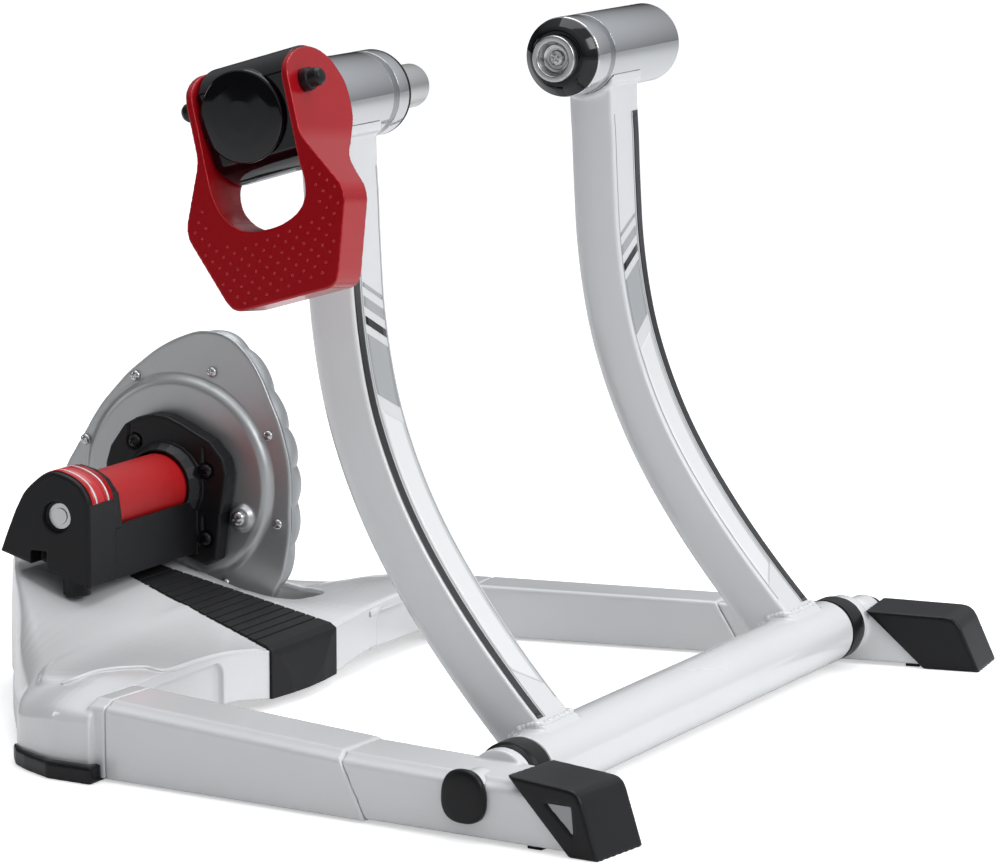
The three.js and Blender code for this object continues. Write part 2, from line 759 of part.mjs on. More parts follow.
function treadSolid(extra = 0) {
  const reach = tread.frontHalf * 2;
  const side = plate(treadOutline(tread.thick + extra, extra), -reach, reach);
  return side.intersect(slab(treadPlan(extra), -overrun, axleHeight));
}

function treadStrip() {
  let made = treadSolid();
  const slope = (treadRearHeight - treadFrontHeight) / (treadRearBack - treadFrontBack);
  for (let i = 0; i < grooveCount; i++) {
    const x = -treadFrontBack - tread.round * 2 - i * tread.groovePitch;
    const z = treadFrontHeight + slope * (-x - treadFrontBack);
    made = made.subtract(box(x - tread.grooveWide, x, -feetWidth / 2, feetWidth / 2, z - tread.grooveDeep, z + overrun * 2));
  }
  return made;
}

// Base body: shell with legs' roots, well for the casing, panels, seat for the tread.
function baseBody() {
  let made = bodySolid().subtract(bodySolid(body.wall));
  for (const side of [-1, 1]) {
    const mid = side * (panel.innerHalf + panel.width / 2);
    const high = side > 0 ? panel.farHeight : panel.height;
    const cut = plateAcross(rounded(panel.width, high * 2, panel.corner, mid, 0),
      -bodyFront - panel.deep, -bodyFront + overrun);
    made = made.subtract(cut).add(panelBack(mid, high));
  }
  const plan = rounded(bodyLength * 2, well.width, well.corner,
    -rollerBack + well.ahead - bodyLength, well.innerHalf + well.width / 2);
  made = made.subtract(slab(plan, -overrun * 2, deckHeight * 1.2));
  return made.subtract(treadSolid(gap));
}

// A plate whose outline lies in Y and Z, between two X places.
function plateAcross(outline, from, to) {
  const shape = new THREE.Shape(outline.map(([y, z]) => new THREE.Vector2(y, z)));
  const geometry = extruded(shape, to - from, 0);
  geometry.applyMatrix4(new THREE.Matrix4().set(0, 0, 1, 0, 1, 0, 0, 0, 0, 1, 0, 0, 0, 0, 0, 1));
  geometry.translate(from, 0, 0);
  return solidOf(geometry);
}

function panelBack(mid, high) {
  const x = -bodyFront - panel.deep;
  const half = panel.width / 2 + body.wall;
  return box(x - body.wall, x, mid - half, mid + half, deckHeight * 0.13, high + body.wall / 2);
}

// Height of the deck's middle at a place behind the feet.
function deckTop(back) {
  const xs = bodyBackShares.map((s) => bodyFront + s * bodyLength);
  const zs = bodyHeightShares.map((row) => row[0] * deckHeight);
  let i = 0;
  while (i + 2 < xs.length && xs[i + 1] < back) i++;
  return zs[i] + ((back - xs[i]) / (xs[i + 1] - xs[i])) * (zs[i + 1] - zs[i]);
}

// Half width of the body's foot line at a share of its length.
function bodyEdge(share) {
  let i = 0;
  while (i + 2 < bodyBackShares.length && bodyBackShares[i + 1] < share) i++;
  const a = bodyBackShares[i];
  const b = bodyBackShares[i + 1];
  const edge = (k) => bodyWidthShares[k][6] * bodyHalfWidth;
  return edge(i) + ((share - a) / (b - a)) * (edge(i + 1) - edge(i));
}

// Root of a leg that grows out of the body up to the rear seam.
function legRoot(side, extra = 0) {
  const proud = leg.sleeveProud + extra;
  const backs = [-extra, overrun, overrun * 3].map((b) => rearSeamBack + b);
  return loft(backs.map((b) => legRing(side, b, 0, proud)));
}

// Rubber shoe round a rear corner of the body.
function rearShoe(side) {
  const line = shoeBackShares.map((s) => [-(bodyFront + s * bodyLength), bodyEdge(s)]);
  line[0][0] += shoe.toe;
  const outer = line.map(([x, y], i) => [x, -y - shoe.band * shoeBandShares[i]]);
  const inner = line.map(([x, y]) => [x, -y + shoe.inner]).reverse();
  const room = bodySolid(-gap).trimByPlane([0, 0, 1], shoe.floor);
  const proud = leg.sleeveProud + gap;
  return slab(outer.concat(inner), 0, shoe.height, shoe.edge)
    .subtract(side === "far" ? flipped(room) : room)
    .subtract(legFlats(side, proud, rearSeamBack - shoe.inner, rearSeamBack + overrun * 3, 0));
}

// Swept D section of one upright, grown for its weld beads.
function uprightSweep(grow = 0) {
  const line = frontLineHeightShares.map((s, i) => [
    -frontLineBack * frontLineBackShares[i],
    s * uprightTop,
  ]);
  const rings = line.map(([x, z], i) => {
    const a = line[Math.max(i - 1, 0)];
    const b = line[Math.min(i + 1, line.length - 1)];
    const length = Math.hypot(b[0] - a[0], b[1] - a[1]);
    const into = [-(b[1] - a[1]) / length, (b[0] - a[0]) / length];
    const half = sectionWideShares.map((s, k) => [
      (s * upright.width) / 2 + (s ? grow : 0),
      sectionDeepShares[k] * (upright.depth + 2 * grow) - grow,
    ]);
    const other = half.slice(0, -1).map(([q, p]) => [-q, p]).reverse();
    return half.concat(other).map(([q, p]) =>
      new THREE.Vector3(x + into[0] * p, -uprightSpan / 2 + q, z + into[1] * p));
  });
  return loft(rings);
}

// Folding frame: cross tube, two uprights and the weld beads at both ends of each.
function foldingFrame() {
  const tube = bar(cross.radius, -crossHalf, crossHalf, ...crossAxis);
  const sweep = uprightSweep();
  const grown = uprightSweep(upright.bead);
  const low = grown.intersect(bar(cross.radius + upright.bead, -feetWidth, feetWidth, ...crossAxis));
  const high = grown.intersect(bar(clamp.radius + upright.bead, -feetWidth, feetWidth, axleBack, axleHeight));
  const one = sweep.add(low).add(high)
    .subtract(bar(clamp.radius + runningGap, -feetWidth, feetWidth, axleBack, axleHeight, fineSteps));
  const hollow = uprightSweep(-upright.wall);
  return tube.add(one).add(flipped(one)).subtract(hollow).subtract(flipped(hollow))
    .subtract(bar(cross.radius - cross.wall, -feetWidth, feetWidth, ...crossAxis));
}

// Flanged bush between the cross tube's end and the boss on the leg.
function pivotBush() {
  const spigot = cross.radius - cross.wall - runningGap;
  const from = crossHalf + gap;
  const bore = bolt.radius + runningGap;
  const profile = [
    [bore, from - bush.spigot],
    [spigot, from - bush.spigot],
    [spigot, from],
    [bush.flange - bush.slit, from],
    [bush.flange - bush.slit, from + bush.slit],
    [bush.flange, from + bush.slit],
    [bush.flange, from + bush.flangeLength],
    [bush.neck, from + bush.flangeLength + bush.slit],
    [bush.neck, from + bush.length - gap],
    [bore, from + bush.length - gap],
    [bore, from - bush.spigot],
  ];
  return flipped(turned(profile, ...crossAxis));
}

// Pivot bolt from the leg's outer pocket into the bush.
function pivotBolt() {
  const head = boltHeadFrom;
  const reach = crossHalf - bolt.inside;
  const profile = [
    [0, head - bolt.headThick / 2],
    [bolt.socket, head - bolt.headThick / 2],
    [bolt.socket, head - bolt.headThick],
    [bolt.headRadius, head - bolt.headThick],
    [bolt.headRadius, head],
    [bolt.radius, head],
    [bolt.radius, -reach],
    [0, -reach],
  ];
  return turned(profile, ...crossAxis, innerSteps);
}

const clampAxis = [axleBack, axleHeight];

// Chromed clamp tube with a shallow groove for its band, in positive Y.
function clampTube(inner, outer, bandBack) {
  const r = clamp.radius;
  const g = inner + bandBack;
  const profile = [
    [clamp.bore, inner],
    [r - clamp.bandDeep, inner],
    [r, inner + clamp.bandDeep],
    [r, g],
    [r - clamp.ring, g],
    [r - clamp.ring, g + clamp.band],
    [r, g + clamp.band],
    [r, outer],
    [r - clamp.wall, outer],
    [r - clamp.wall, inner + clamp.neck + clamp.wall],
    [clamp.bore, inner + clamp.neck],
    [clamp.bore, inner],
  ];
  return turned(profile, ...clampAxis, fineSteps);
}

function ringOf(inner, outer, from, to, axis, steps = roundSteps) {
  return turned([[inner, from], [outer, from], [outer, to], [inner, to], [inner, from]], ...axis, steps);
}

const clampBand = (inner, bandBack) =>
  ringOf(clamp.radius - clamp.ring + runningGap, clamp.radius - clamp.bandDeep / 2,
    inner + bandBack + runningGap, inner + bandBack + clamp.band - runningGap, clampAxis, fineSteps);

const farTip = farInner - farCup.length - gap * 2;
const tipPlace = axleGap - farTip;
const camReach = cam.radius + cam.offCentre * Math.cos(camLeadAngle);
const plungerRadius = clamp.bore - plunger.clear;

// Thrust plunger along the clamp axis: notched tip, collar, rod and cam face.
function thrustPlunger() {
  const p = plunger;
  const tip = -tipPlace;
  const back = tip - p.collarLength;
  const tail = -pinOut + camReach + gap;
  const groove = tip - p.grooveBack;
  const profile = [
    [0, tip - p.coneDeep],
    [p.cone, tip],
    [plungerRadius - p.tipChamfer, tip],
    [plungerRadius, tip - p.tipChamfer],
    [plungerRadius, groove],
    [plungerRadius - p.groove, groove],
    [plungerRadius - p.groove, groove - p.grooveWide],
    [plungerRadius, groove - p.grooveWide],
    [plungerRadius, back],
    [p.rod, back],
    [p.rod, tail + p.tipChamfer],
    [plungerRadius - p.groove, tail + p.tipChamfer],
    [plungerRadius - p.groove, tail],
    [0, tail],
  ];
  let made = turned(profile, ...clampAxis);
  const x = -axleBack;
  const z = axleHeight;
  made = made.subtract(box(x - p.notchWide / 2, x + p.notchWide / 2, tip - p.notchDeep, tip + overrun,
    z - plungerRadius - overrun, z + plungerRadius + overrun));
  return made.subtract(box(x - plungerRadius - overrun, x + plungerRadius + overrun, tip - p.notchDeep, tip + overrun,
    z - p.notchWide / 2, z + p.notchWide / 2));
}

// Frame of the cam pin: X along the pin, Y inwards, Z up; extra turns the lever about the pin.
function pinFrame(extra = 0) {
  const u = new THREE.Vector3(Math.cos(housing.tiltAngle), 0, Math.sin(housing.tiltAngle));
  const inward = new THREE.Vector3(0, 1, 0);
  const up = new THREE.Vector3().crossVectors(u, inward);
  const basis = new THREE.Matrix4().makeBasis(u, inward, up);
  basis.setPosition(new THREE.Vector3(-axleBack, -pinOut, axleHeight)
    .addScaledVector(up, pin.rise).addScaledVector(u, housing.offset));
  return basis.multiply(new THREE.Matrix4().makeRotationX(-extra));
}

// A turned solid about the local X axis, from [radius, x] points.
function turnedAcross(profile, steps = roundSteps) {
  return turned(profile, 0, 0, steps).rotate([0, 0, -90]);
}

const slotHalf = housing.halfLength + gap * 2;
const neckHalf = slotHalf + lever.ear;

// Cam housing: a bar across the clamp with a short barrel for the cap disc.
function camHousing() {
  const h = housing;
  const profile = [
    [0, -h.halfLength],
    [h.radius - h.edge, -h.halfLength],
    [h.radius, -h.halfLength + h.edge],
    [h.radius, h.halfLength - h.edge],
    [h.radius - h.edge, h.halfLength],
    [0, h.halfLength],
  ];
  const lag = pin.beyondTube - h.beyondTube;
  const across = turnedBy(turnedAcross(profile).translate([0, lag, -h.drop]), pinFrame());
  let made = across.add(bar(barrelRadius, -faceOut, -pinOut + lag, ...clampAxis));
  made = made.trimByPlane([0, 1, 0], -faceOut);
  made = made.subtract(bar(clamp.radius + runningGap, -nearOuter - gap, 0, ...clampAxis, fineSteps));
  made = made.subtract(bar(clamp.bore, -pinOut, 0, ...clampAxis));
  const bore = turnedAcross([[0, -h.radius * 2], [pin.radius + runningGap, -h.radius * 2],
    [pin.radius + runningGap, h.radius * 2], [0, h.radius * 2]]);
  made = made.subtract(turnedBy(bore, pinFrame()));
  const half = cam.halfWidth + gap;
  const slot = turnedAcross([[0, -half], [cam.slotRadius, -half], [cam.slotRadius, half], [0, half]]);
  return made.subtract(turnedBy(slot, pinFrame()).trimByPlane([0, 1, 0], -faceOut + cam.outerWall));
}

// Glossy domed disc on the outer face of the cam housing.
function capDisc() {
  const face = -faceOut - gap;
  const d = disc;
  const radius = barrelRadius + d.proud;
  return turned([
    [0, face],
    [radius, face],
    [radius, face - d.thick + d.dome + d.rim],
    [radius - d.rim, face - d.thick + d.dome],
    [radius * 0.7, face - d.thick + d.dome * 0.4],
    [0, face - d.thick],
  ].reverse(), ...clampAxis, fineSteps);
}

// Lever: two ears beside the housing that join in a broad handle.
function leverBody() {
  const l = lever;
  const wide = leverWideShares.map(([a, b]) => [a * l.halfWidth, -b * l.drop]);
  const neck = -neckDropShare * l.drop;
  const front = [[neckHalf, neck], ...wide, [-neckHalf, neck], [-neckHalf, l.drop / 4], [neckHalf, l.drop / 4]];
  const side = leverSideShares.map(([n, d]) => [-n * l.back, -d * l.drop]);
  const slot = leverSlotShares.map(([a, b]) => [a * slotHalf, -b * l.slotDrop]);
  const reach = l.back + overrun;
  let made = plate(front, -reach, reach, l.edge).intersect(plateAcross(side, -l.halfWidth * 2, l.halfWidth * 2));
  made = plate(front, -l.face, reach, l.edge).intersect(made);
  made = made.subtract(plate(slot, -reach * 2, reach * 2));
  const bore = pin.radius + runningGap;
  made = made.subtract(turnedAcross([[0, -reach * 2], [bore, -reach * 2], [bore, reach * 2], [0, reach * 2]]));
  return turnedBy(made, pinFrame(lever.hangAngle));
}

// Domed end of the pin outside an ear, from [radius, x] places.
const pinEnd = () => [
  [pin.bossRadius, neckHalf + gap],
  [pin.bossRadius, neckHalf + gap + pin.bossThick],
  [pin.tipRadius, neckHalf + gap + pin.bossThick],
  [pin.tipRadius, neckHalf + gap + pin.tipLength],
  [pin.tipRadius * 0.7, neckHalf + gap + pin.tipLength + pin.tipRadius * 0.4],
  [0, neckHalf + gap + pin.tipLength + pin.tipRadius * 0.5],
];

function leverPin() {
  const profile = [[0, -neckHalf - pin.bossThick], [pin.radius, -neckHalf - pin.bossThick],
    [pin.radius, neckHalf + gap], ...pinEnd()];
  return turnedBy(turnedAcross(profile, smallSteps), pinFrame());
}

function pinNut() {
  const bore = pin.radius + runningGap;
  const start = neckHalf + gap;
  const profile = [[bore, start], ...pinEnd(), [0, start + pin.bossThick + gap], [bore, start + pin.bossThick + gap], [bore, start]];
  return turnedBy(turnedAcross(profile, smallSteps).rotate([0, 180, 0]), pinFrame());
}

function thrustCam() {
  const half = cam.halfWidth;
  const bore = pin.radius + runningGap;
  const lead = [0, cam.offCentre * Math.cos(camLeadAngle), -cam.offCentre * Math.sin(camLeadAngle)];
  const lobe = turnedAcross([[0, -half], [cam.radius, -half], [cam.radius, half], [0, half]]).translate(lead);
  const hole = turnedAcross([[0, -half * 2], [bore, -half * 2], [bore, half * 2], [0, half * 2]], smallSteps);
  return turnedBy(lobe.subtract(hole), pinFrame());
}

// Cross recess for a screw head whose face looks towards -Y.
function crossCut(face, wide, deep, reach, x, z, turnAngle = Math.PI / 5) {
  const one = box(-reach, reach, face - overrun, face + deep, -wide / 2, wide / 2);
  const two = box(-wide / 2, wide / 2, face - overrun, face + deep, -reach, reach);
  return one.add(two).rotate([0, THREE.MathUtils.radToDeg(turnAngle), 0]).translate([x, 0, z]);
}

// Domed screw with its head on a face that looks towards -Y.
function domedScrew(face, x, z, size, turnAngle) {
  const top = face - gap - size.thick;
  const profile = [
    [0, top],
    [size.radius * 0.55, top + size.thick * 0.12],
    [size.radius * 0.88, top + size.thick * 0.45],
    [size.radius, face - gap],
    [size.shank, face - gap],
    [size.shank, face + size.shankLength],
    [0, face + size.shankLength],
  ];
  const made = turned(profile, -x, z, smallSteps);
  return made.subtract(crossCut(top, size.socketWide, size.socketDeep, size.radius * 0.55, x, z, turnAngle));
}

// Far side: adjustable cup, its lock ring, screw and end cap
function hubCup() {
  const c = farCup;
  const face = farTip;
  const shoulder = face + c.length;
  const guide = farInner + gap;
  const guideRadius = clamp.bore - c.guideClear;
  const tail = farOuter - endCap.thick - endCap.plugDeep - c.tailGap;
  const profile = [
    [0, face + c.bowlDeep],
    [c.bowl * 0.75, face + c.bowlDeep],
    [c.bowl, face],
    [c.radius - c.bowlDeep * 0.1, face],
    [c.radius, face + c.bowlDeep * 0.1],
    [c.radius, shoulder],
    [c.stem, shoulder],
    [c.stem, guide],
    [guideRadius, guide],
    [guideRadius, guide + c.guideLength],
    [c.stem, guide + c.guideLength],
    [c.stem, tail],
    [0, tail],
  ];
  return turned(profile, ...clampAxis).subtract(
    bar(cupScrew.radius * 0.4 + runningGap, face, shoulder + gap, ...clampAxis, smallSteps));
}

function lockRing() {
  const c = farCup;
  const back = farInner - gap;
  const bore = c.radius + runningGap;
  return turned([
    [bore, back - c.coneThick],
    [c.coneNose - 1.5 * clamp.ring, back - c.coneThick],
    [c.coneNose, back - c.coneThick + clamp.ring],
    [c.coneRadius, back - clamp.ring],
    [c.coneRadius, back],
    [bore, back],
    [bore, back - c.coneThick],
  ], ...clampAxis, fineSteps);
}

function cupCentreScrew() {
  const seat = farTip + farCup.bowlDeep;
  const size = { ...cupScrew, shank: cupScrew.radius * 0.4, shankLength: farCup.length - farCup.bowlDeep };
  return domedScrew(seat, -axleBack, axleHeight, size);
}

function farEndCap() {
  const from = farOuter - endCap.thick;
  return turned([
    [0, from - endCap.plugDeep],
    [clamp.radius - clamp.wall - runningGap, from - endCap.plugDeep],
    [clamp.radius - clamp.wall - runningGap, from + gap],
    [endCap.radius, from + gap],
    [endCap.radius, farOuter - clamp.ring],
    [endCap.radius - clamp.ring, farOuter],
    [0, farOuter],
  ], ...clampAxis, fineSteps);
}

const rollerAxis = [rollerBack, rollerHeight];
const atRoller = (outline) => moved(outline, -rollerBack, rollerHeight);

function rollerBody() {
  const r = roller;
  const bore = r.shaft + runningGap;
  return turned([
    [bore, -r.nearEnd],
    [r.radius - r.edge, -r.nearEnd],
    [r.radius, -r.nearEnd + r.edge],
    [r.radius, r.farEnd - r.edge],
    [r.radius - r.edge, r.farEnd],
    [bore, r.farEnd],
    [bore, -r.nearEnd],
  ], ...rollerAxis, fineSteps);
}

const flangeBack = unit.face - unit.ringRise - gap;
const bearingSeat = -holder.nearFace + bearing.recessDeep;
const farBearing = holder.flangeFace + bearing.thick;

const bearingRing = (from) =>
  ringOf(roller.shaft + runningGap, bearing.outer, from, from + bearing.thick, rollerAxis, innerSteps);

// Holder: cheek hood, cradle under the roller, collar and flange for the casing.
function holderBody() {
  const h = holder;
  const cheek = atRoller(scaled(cheekShares, holderSide, holderSide));
  const under = [cheek[0], cheek[1], cheek[2]];
  const lip = rollerHeight - h.lipDrop;
  under.push([cheek[2][0] + h.wall * 2, lip], [cheek[0][0], lip]);
  let made = plate(cheek, -h.nearFace, -h.hoodLipEnd, h.soft);
  const slant = new THREE.Vector2(-holderSide - h.lipDrop, h.hoodLipEnd - h.hoodTopEnd).normalize();
  made = made.trimByPlane([0, slant.x, slant.y], -h.hoodLipEnd * slant.x + lip * slant.y);
  made = made.add(plate(under, -h.hoodLipEnd - overrun * 2, h.flangeFace + overrun, 0));
  made = made.add(plate(atRoller(scaled(flangeShares, holderSide, holderSide)), h.flangeFace, flangeBack, h.soft));
  const collar = [[0, h.flangeFace - h.collarThick * 3], [h.collarRadius - h.collarThick, h.flangeFace - h.collarThick * 3],
    [h.collarRadius, h.flangeFace - h.collarThick], [h.collarRadius, h.flangeFace + overrun], [0, h.flangeFace + overrun]];
  made = made.add(turned(collar, ...rollerAxis));
  const room = roller.radius + h.rollerGap;
  made = made.subtract(bar(room, -roller.nearEnd - h.rollerGap, roller.farEnd + h.rollerGap, ...rollerAxis));
  made = made.subtract(bar(bearing.recess, -h.nearFace - overrun, bearingSeat, ...rollerAxis));
  made = made.subtract(bar(bearing.outer + runningGap, -h.nearFace, -roller.nearEnd, ...rollerAxis));
  made = made.subtract(bar(bearing.outer + runningGap, farBearing - gap, flangeBack + overrun, ...rollerAxis));
  made = made.subtract(bar(roller.shaft + runningGap * 4, -roller.nearEnd, flangeBack + overrun, ...rollerAxis));
  const x = -rollerBack - notch.back;
  made = made.subtract(box(x - notch.width / 2, x + notch.width / 2, -h.nearFace - overrun, -h.nearFace + h.boreWall,
    0, rollerHeight - notch.height));
  made = made.add(holderPeg());
  return flangeCuts(made);
}

function holderPeg() {
  const profile = [[0, -peg.drop], [peg.radius - 1.2 * runningGap, -peg.drop], [peg.radius, -peg.drop + gap * 2],
    [peg.radius, -peg.drop / 2], [0, -peg.drop / 2]];
  return turned(profile, 0, 0, innerSteps).rotate([90, 0, 0]).translate([-rollerBack + peg.front, -peg.near, rollerHeight]);
}

// Screw seats and relief slots in the flange's face.
function flangeCuts(body) {
  let made = body;
  for (const [a, b] of flangeScrewShares) {
    const x = -rollerBack + a * holderSide;
    const z = rollerHeight + b * holderSide;
    made = made.subtract(bar(flangeScrew.radius + reliefSlot.deep, holder.flangeFace - overrun * 3,
      holder.flangeFace + reliefSlot.deep, -x, z, smallSteps));
    made = made.subtract(bar(flangeScrew.shank + runningGap, 0, flangeBack + overrun, -x, z, smallSteps));
    const side = a > 0 ? -flangeScrew.radius / 2 : -flangeScrew.radius;
    made = made.subtract(box(x + side, x + side + reliefSlot.width, holder.flangeFace - overrun,
      holder.flangeFace + reliefSlot.deep, z, z + reliefSlot.length));
  }
  const [fx, fz] = fillerPlace();
  return made.subtract(bar(filler.bossRadius + gap, 0, flangeBack + overrun, -fx, fz, smallSteps));
}

const fillerPlace = () => [
  -rollerBack + filler.reach * Math.cos(filler.angle),
  rollerHeight + filler.reach * Math.sin(filler.angle),
];

// Curved band plate over the hood, bare, cut to the hood's slanting edge.
function holderLabel() {
  const outer = (grow) => atRoller(scaled(cheekShares, holderSide + grow, holderSide + grow));
  const far = -holder.hoodTopEnd - holder.soft * 1.5;
  const shell = plate(outer(label.thick + gap), far - label.wide / 2, far)
    .subtract(plate(outer(gap / 2), far - label.wide, far + overrun));
  const keep = box(-rollerBack - holderSide * 0.36, -rollerBack + holderSide * 2, -feetWidth / 2, 0,
    rollerHeight + holderSide * 0.42, rollerHeight * 2);
  return shell.intersect(keep);
}

// Rubber pad between the deck and the underside of the holder.
function mountPadBody() {
  const near = treadRearBack + mountPad.ahead;
  const far = rollerBack + mountPad.rear;
  const bottomAt = (back) => {
    const ends = cheekShares.slice(0, 2);
    const [a, b] = ends.map(([p, q]) => [rollerBack - p * holderSide, rollerHeight + q * holderSide]);
    return a[1] + ((back - a[0]) / (b[0] - a[0])) * (b[1] - a[1]);
  };
  const steps = bodyBackShares.map((s) => bodyFront + s * bodyLength).filter((x) => x > near && x < far);
  const low = [near, ...steps, far].map((x) => [-x, deckTop(x) + mountPad.sink]);
  return plate([...low, [-far, bottomAt(far) - gap], [-near, bottomAt(near) - gap]], -mountPad.half, mountPad.half);
}

// Rounded three-lobed outline of the resistance unit, by angle round the roller.
function unitOutline(share, steps) {
  const points = plateShares.map((s, i) => {
    const angle = (i / plateShares.length) * 2 * Math.PI;
    return new THREE.Vector3(s * unit.radius * Math.cos(angle), 0, s * unit.radius * Math.sin(angle));
  });
  const curve = new THREE.CatmullRomCurve3(points, true, "centripetal");
  return curve.getPoints(steps).slice(0, steps).map((p) => [p.x * share, p.z * share]);
}

// Pressed front plate with a raised round step and a boss for the filler screw.
function frontPlate() {
  const u = unit;
  const rise = (extra) => turned([
    [0, u.face - u.ringRise + extra],
    [u.ringRadius - u.ringBevel - extra / 2, u.face - u.ringRise + extra],
    [u.ringRadius - u.ringBevel / 3 - extra, u.face - u.ringRise * 0.6 + extra],
    [u.ringRadius - extra, u.face + extra],
    [u.ringRadius - extra, u.face + u.plateThick + (extra ? overrun : 0)],
    [0, u.face + u.plateThick + (extra ? overrun : 0)],
  ], ...rollerAxis, fineSteps);
  const [fx, fz] = fillerPlace();
  let made = plate(atRoller(unitOutline(1, 64)), u.face, u.face + u.plateThick).add(rise(0));
  made = made.subtract(rise(u.plateThick));
  const bossTop = u.face - u.ringRise - filler.bossRise;
  made = made.add(turned([[0, bossTop], [filler.bossRadius * 0.75, bossTop], [filler.bossRadius, u.face - u.ringRise + gap],
    [filler.bossRadius, u.face - u.ringRise + u.plateThick], [0, u.face - u.ringRise + u.plateThick]], -fx, fz, innerSteps));
  made = made.subtract(bar(rimScrew.shank + runningGap, 0, u.face + overrun * 4, -fx, fz, smallSteps));
  made = made.subtract(bar(u.boreRadius, 0, u.face + overrun * 4, ...rollerAxis));
  for (const [x, z] of rimPlaces()) made = made.subtract(bar(rimScrew.shank + runningGap, 0, u.face + overrun * 2, -x, z, smallSteps));
  return made;
}

const rimPlaces = () =>
  rimScrewAngleShares.map((s, i) => [
    -rollerBack + unit.screwRadius * rimScrewOutShares[i] * Math.cos(s * 2 * Math.PI),
    rollerHeight + unit.screwRadius * rimScrewOutShares[i] * Math.sin(s * 2 * Math.PI),
  ]);

const plateBack = unit.face + unit.plateThick + gap;
const casingFront = plateBack + unit.gasketThick + gap;

function gasket() {
  let made = plate(atRoller(unitOutline(0.985, 48)), plateBack, plateBack + unit.gasketThick)
    .subtract(bar(unit.ringRadius, plateBack - overrun, casingFront + overrun, ...rollerAxis));
  for (const [x, z] of rimPlaces()) made = made.subtract(bar(rimScrew.shank + runningGap, 0, unit.face + overrun * 4, -x, z, smallSteps));
  return made;
}

// Finned casing: a bowl whose wall is waved by cooling ribs.
function finnedCasing() {
  const steps = finCount * 4;
  const rings = casingDepthShares.map((d, i) => {
    const base = unitOutline(casingSizeShares[i], steps);
    return base.map(([x, z], k) => {
      const length = Math.hypot(x, z);
      const wave = Math.abs(Math.cos((k / steps) * finCount * Math.PI));
      const grow = 1 + (casingWaveShares[i] * unit.finRise * (wave - 0.5)) / length;
      return new THREE.Vector3(-rollerBack + x * grow, casingFront + d * unit.depth, rollerHeight + z * grow);
    });
  });
  const room = unit.depth - unit.wall;
  const hollow = [[0, casingFront - overrun], [unit.ringRadius - unit.wall, casingFront - overrun],
    [unit.ringRadius - unit.wall, casingFront + room * 0.5], [unit.ringRadius * 0.62, casingFront + room], [0, casingFront + room]];
  let made = loft(rings).subtract(turned(hollow, ...rollerAxis));
  for (const [x, z] of rimPlaces())
    made = made.subtract(bar(rimScrew.shank + runningGap, 0, unit.face + rimScrew.shankLength + gap, -x, z, smallSteps));
  return made;
}

// Impeller that stirs the fluid, fixed on the roller's shaft.
const wheelFront = casingFront + impeller.clear;
const shaftEnd = wheelFront + impeller.bladeDeep + impeller.shaftProud;

function impellerWheel() {
  const i = impeller;
  const from = wheelFront;
  const bore = roller.shaft + runningGap;
  let made = ringOf(bore, i.radius, from, from + i.bladeThick, rollerAxis)
    .add(ringOf(bore, i.hub, from, from + i.bladeDeep, rollerAxis));
  for (let k = 0; k < bladeCount; k++) {
    const blade = box(i.hub - i.bladeThick / 2, i.radius - i.bladeThick, from + i.bladeThick / 2, from + i.bladeDeep,
      -i.bladeThick / 2, i.bladeThick / 2);
    made = made.add(blade.rotate([0, (k * 360) / bladeCount, 0]).translate([-rollerBack, 0, rollerHeight]));
  }
  return made;
}

// Base
place("base_body", baseBody().add(legRoot("near")).add(flipped(legRoot("far"))), "white");
place("tread_strip", treadStrip(), "rubber");
for (const [side, solid] of both(frontLeg)) place(side + "_leg_front", solid, "white");
for (const [side, solid] of both(sleeveLeg)) place(side + "_leg_sleeve", solid, "white");
for (const [side, solid] of both(frontFoot)) place(side + "_front_foot", solid, "black");
for (const [side, solid] of both(underPad)) place(side + "_under_pad", solid, "rubber");
for (const [side, solid] of both(rearShoe)) place(side + "_rear_foot", solid, "black");
for (const [side, solid] of both(legPlug)) place(side + "_bolt_cover", solid, "black");
for (const [side, solid] of both(pivotBolt)) place(side + "_pivot_bolt", solid, "steel");

// Folding frame and clamps
for (const [side, solid] of both(pivotBush)) place(side + "_pivot_bush", solid, "black");
place("folding_frame", foldingFrame(), "white");
const nearTubeEnd = nearInner + clamp.ring + gap;
place("near_clamp_tube", flipped(clampTube(nearTubeEnd, nearOuter, clamp.nearBandBack)), "chrome");
place("near_clamp_band", flipped(clampBand(nearTubeEnd, clamp.nearBandBack)), "steel");
place("near_end_ring", flipped(ringOf(clamp.bore, clamp.radius, nearInner, nearInner + clamp.ring, clampAxis, fineSteps)), "black");
place("far_clamp_tube", clampTube(farInner, farOuter - endCap.thick, clamp.farBandBack), "chrome");
place("far_clamp_band", clampBand(farInner, clamp.farBandBack), "steel");
place("far_end_cap", farEndCap(), "gloss");
place("far_lock_ring", lockRing(), "gloss");
place("far_hub_cup", hubCup(), "steel");
place("far_cup_screw", cupCentreScrew(), "steel");
place("thrust_plunger", thrustPlunger(), "alloy");
place("cam_housing", camHousing(), "gloss");
place("cap_disc", capDisc(), "gloss");
place("clamp_lever", leverBody(), "red");
place("lever_pin", leverPin(), "black");
place("lever_pin_nut", pinNut(), "black");
place("thrust_cam", thrustCam(), "steel");

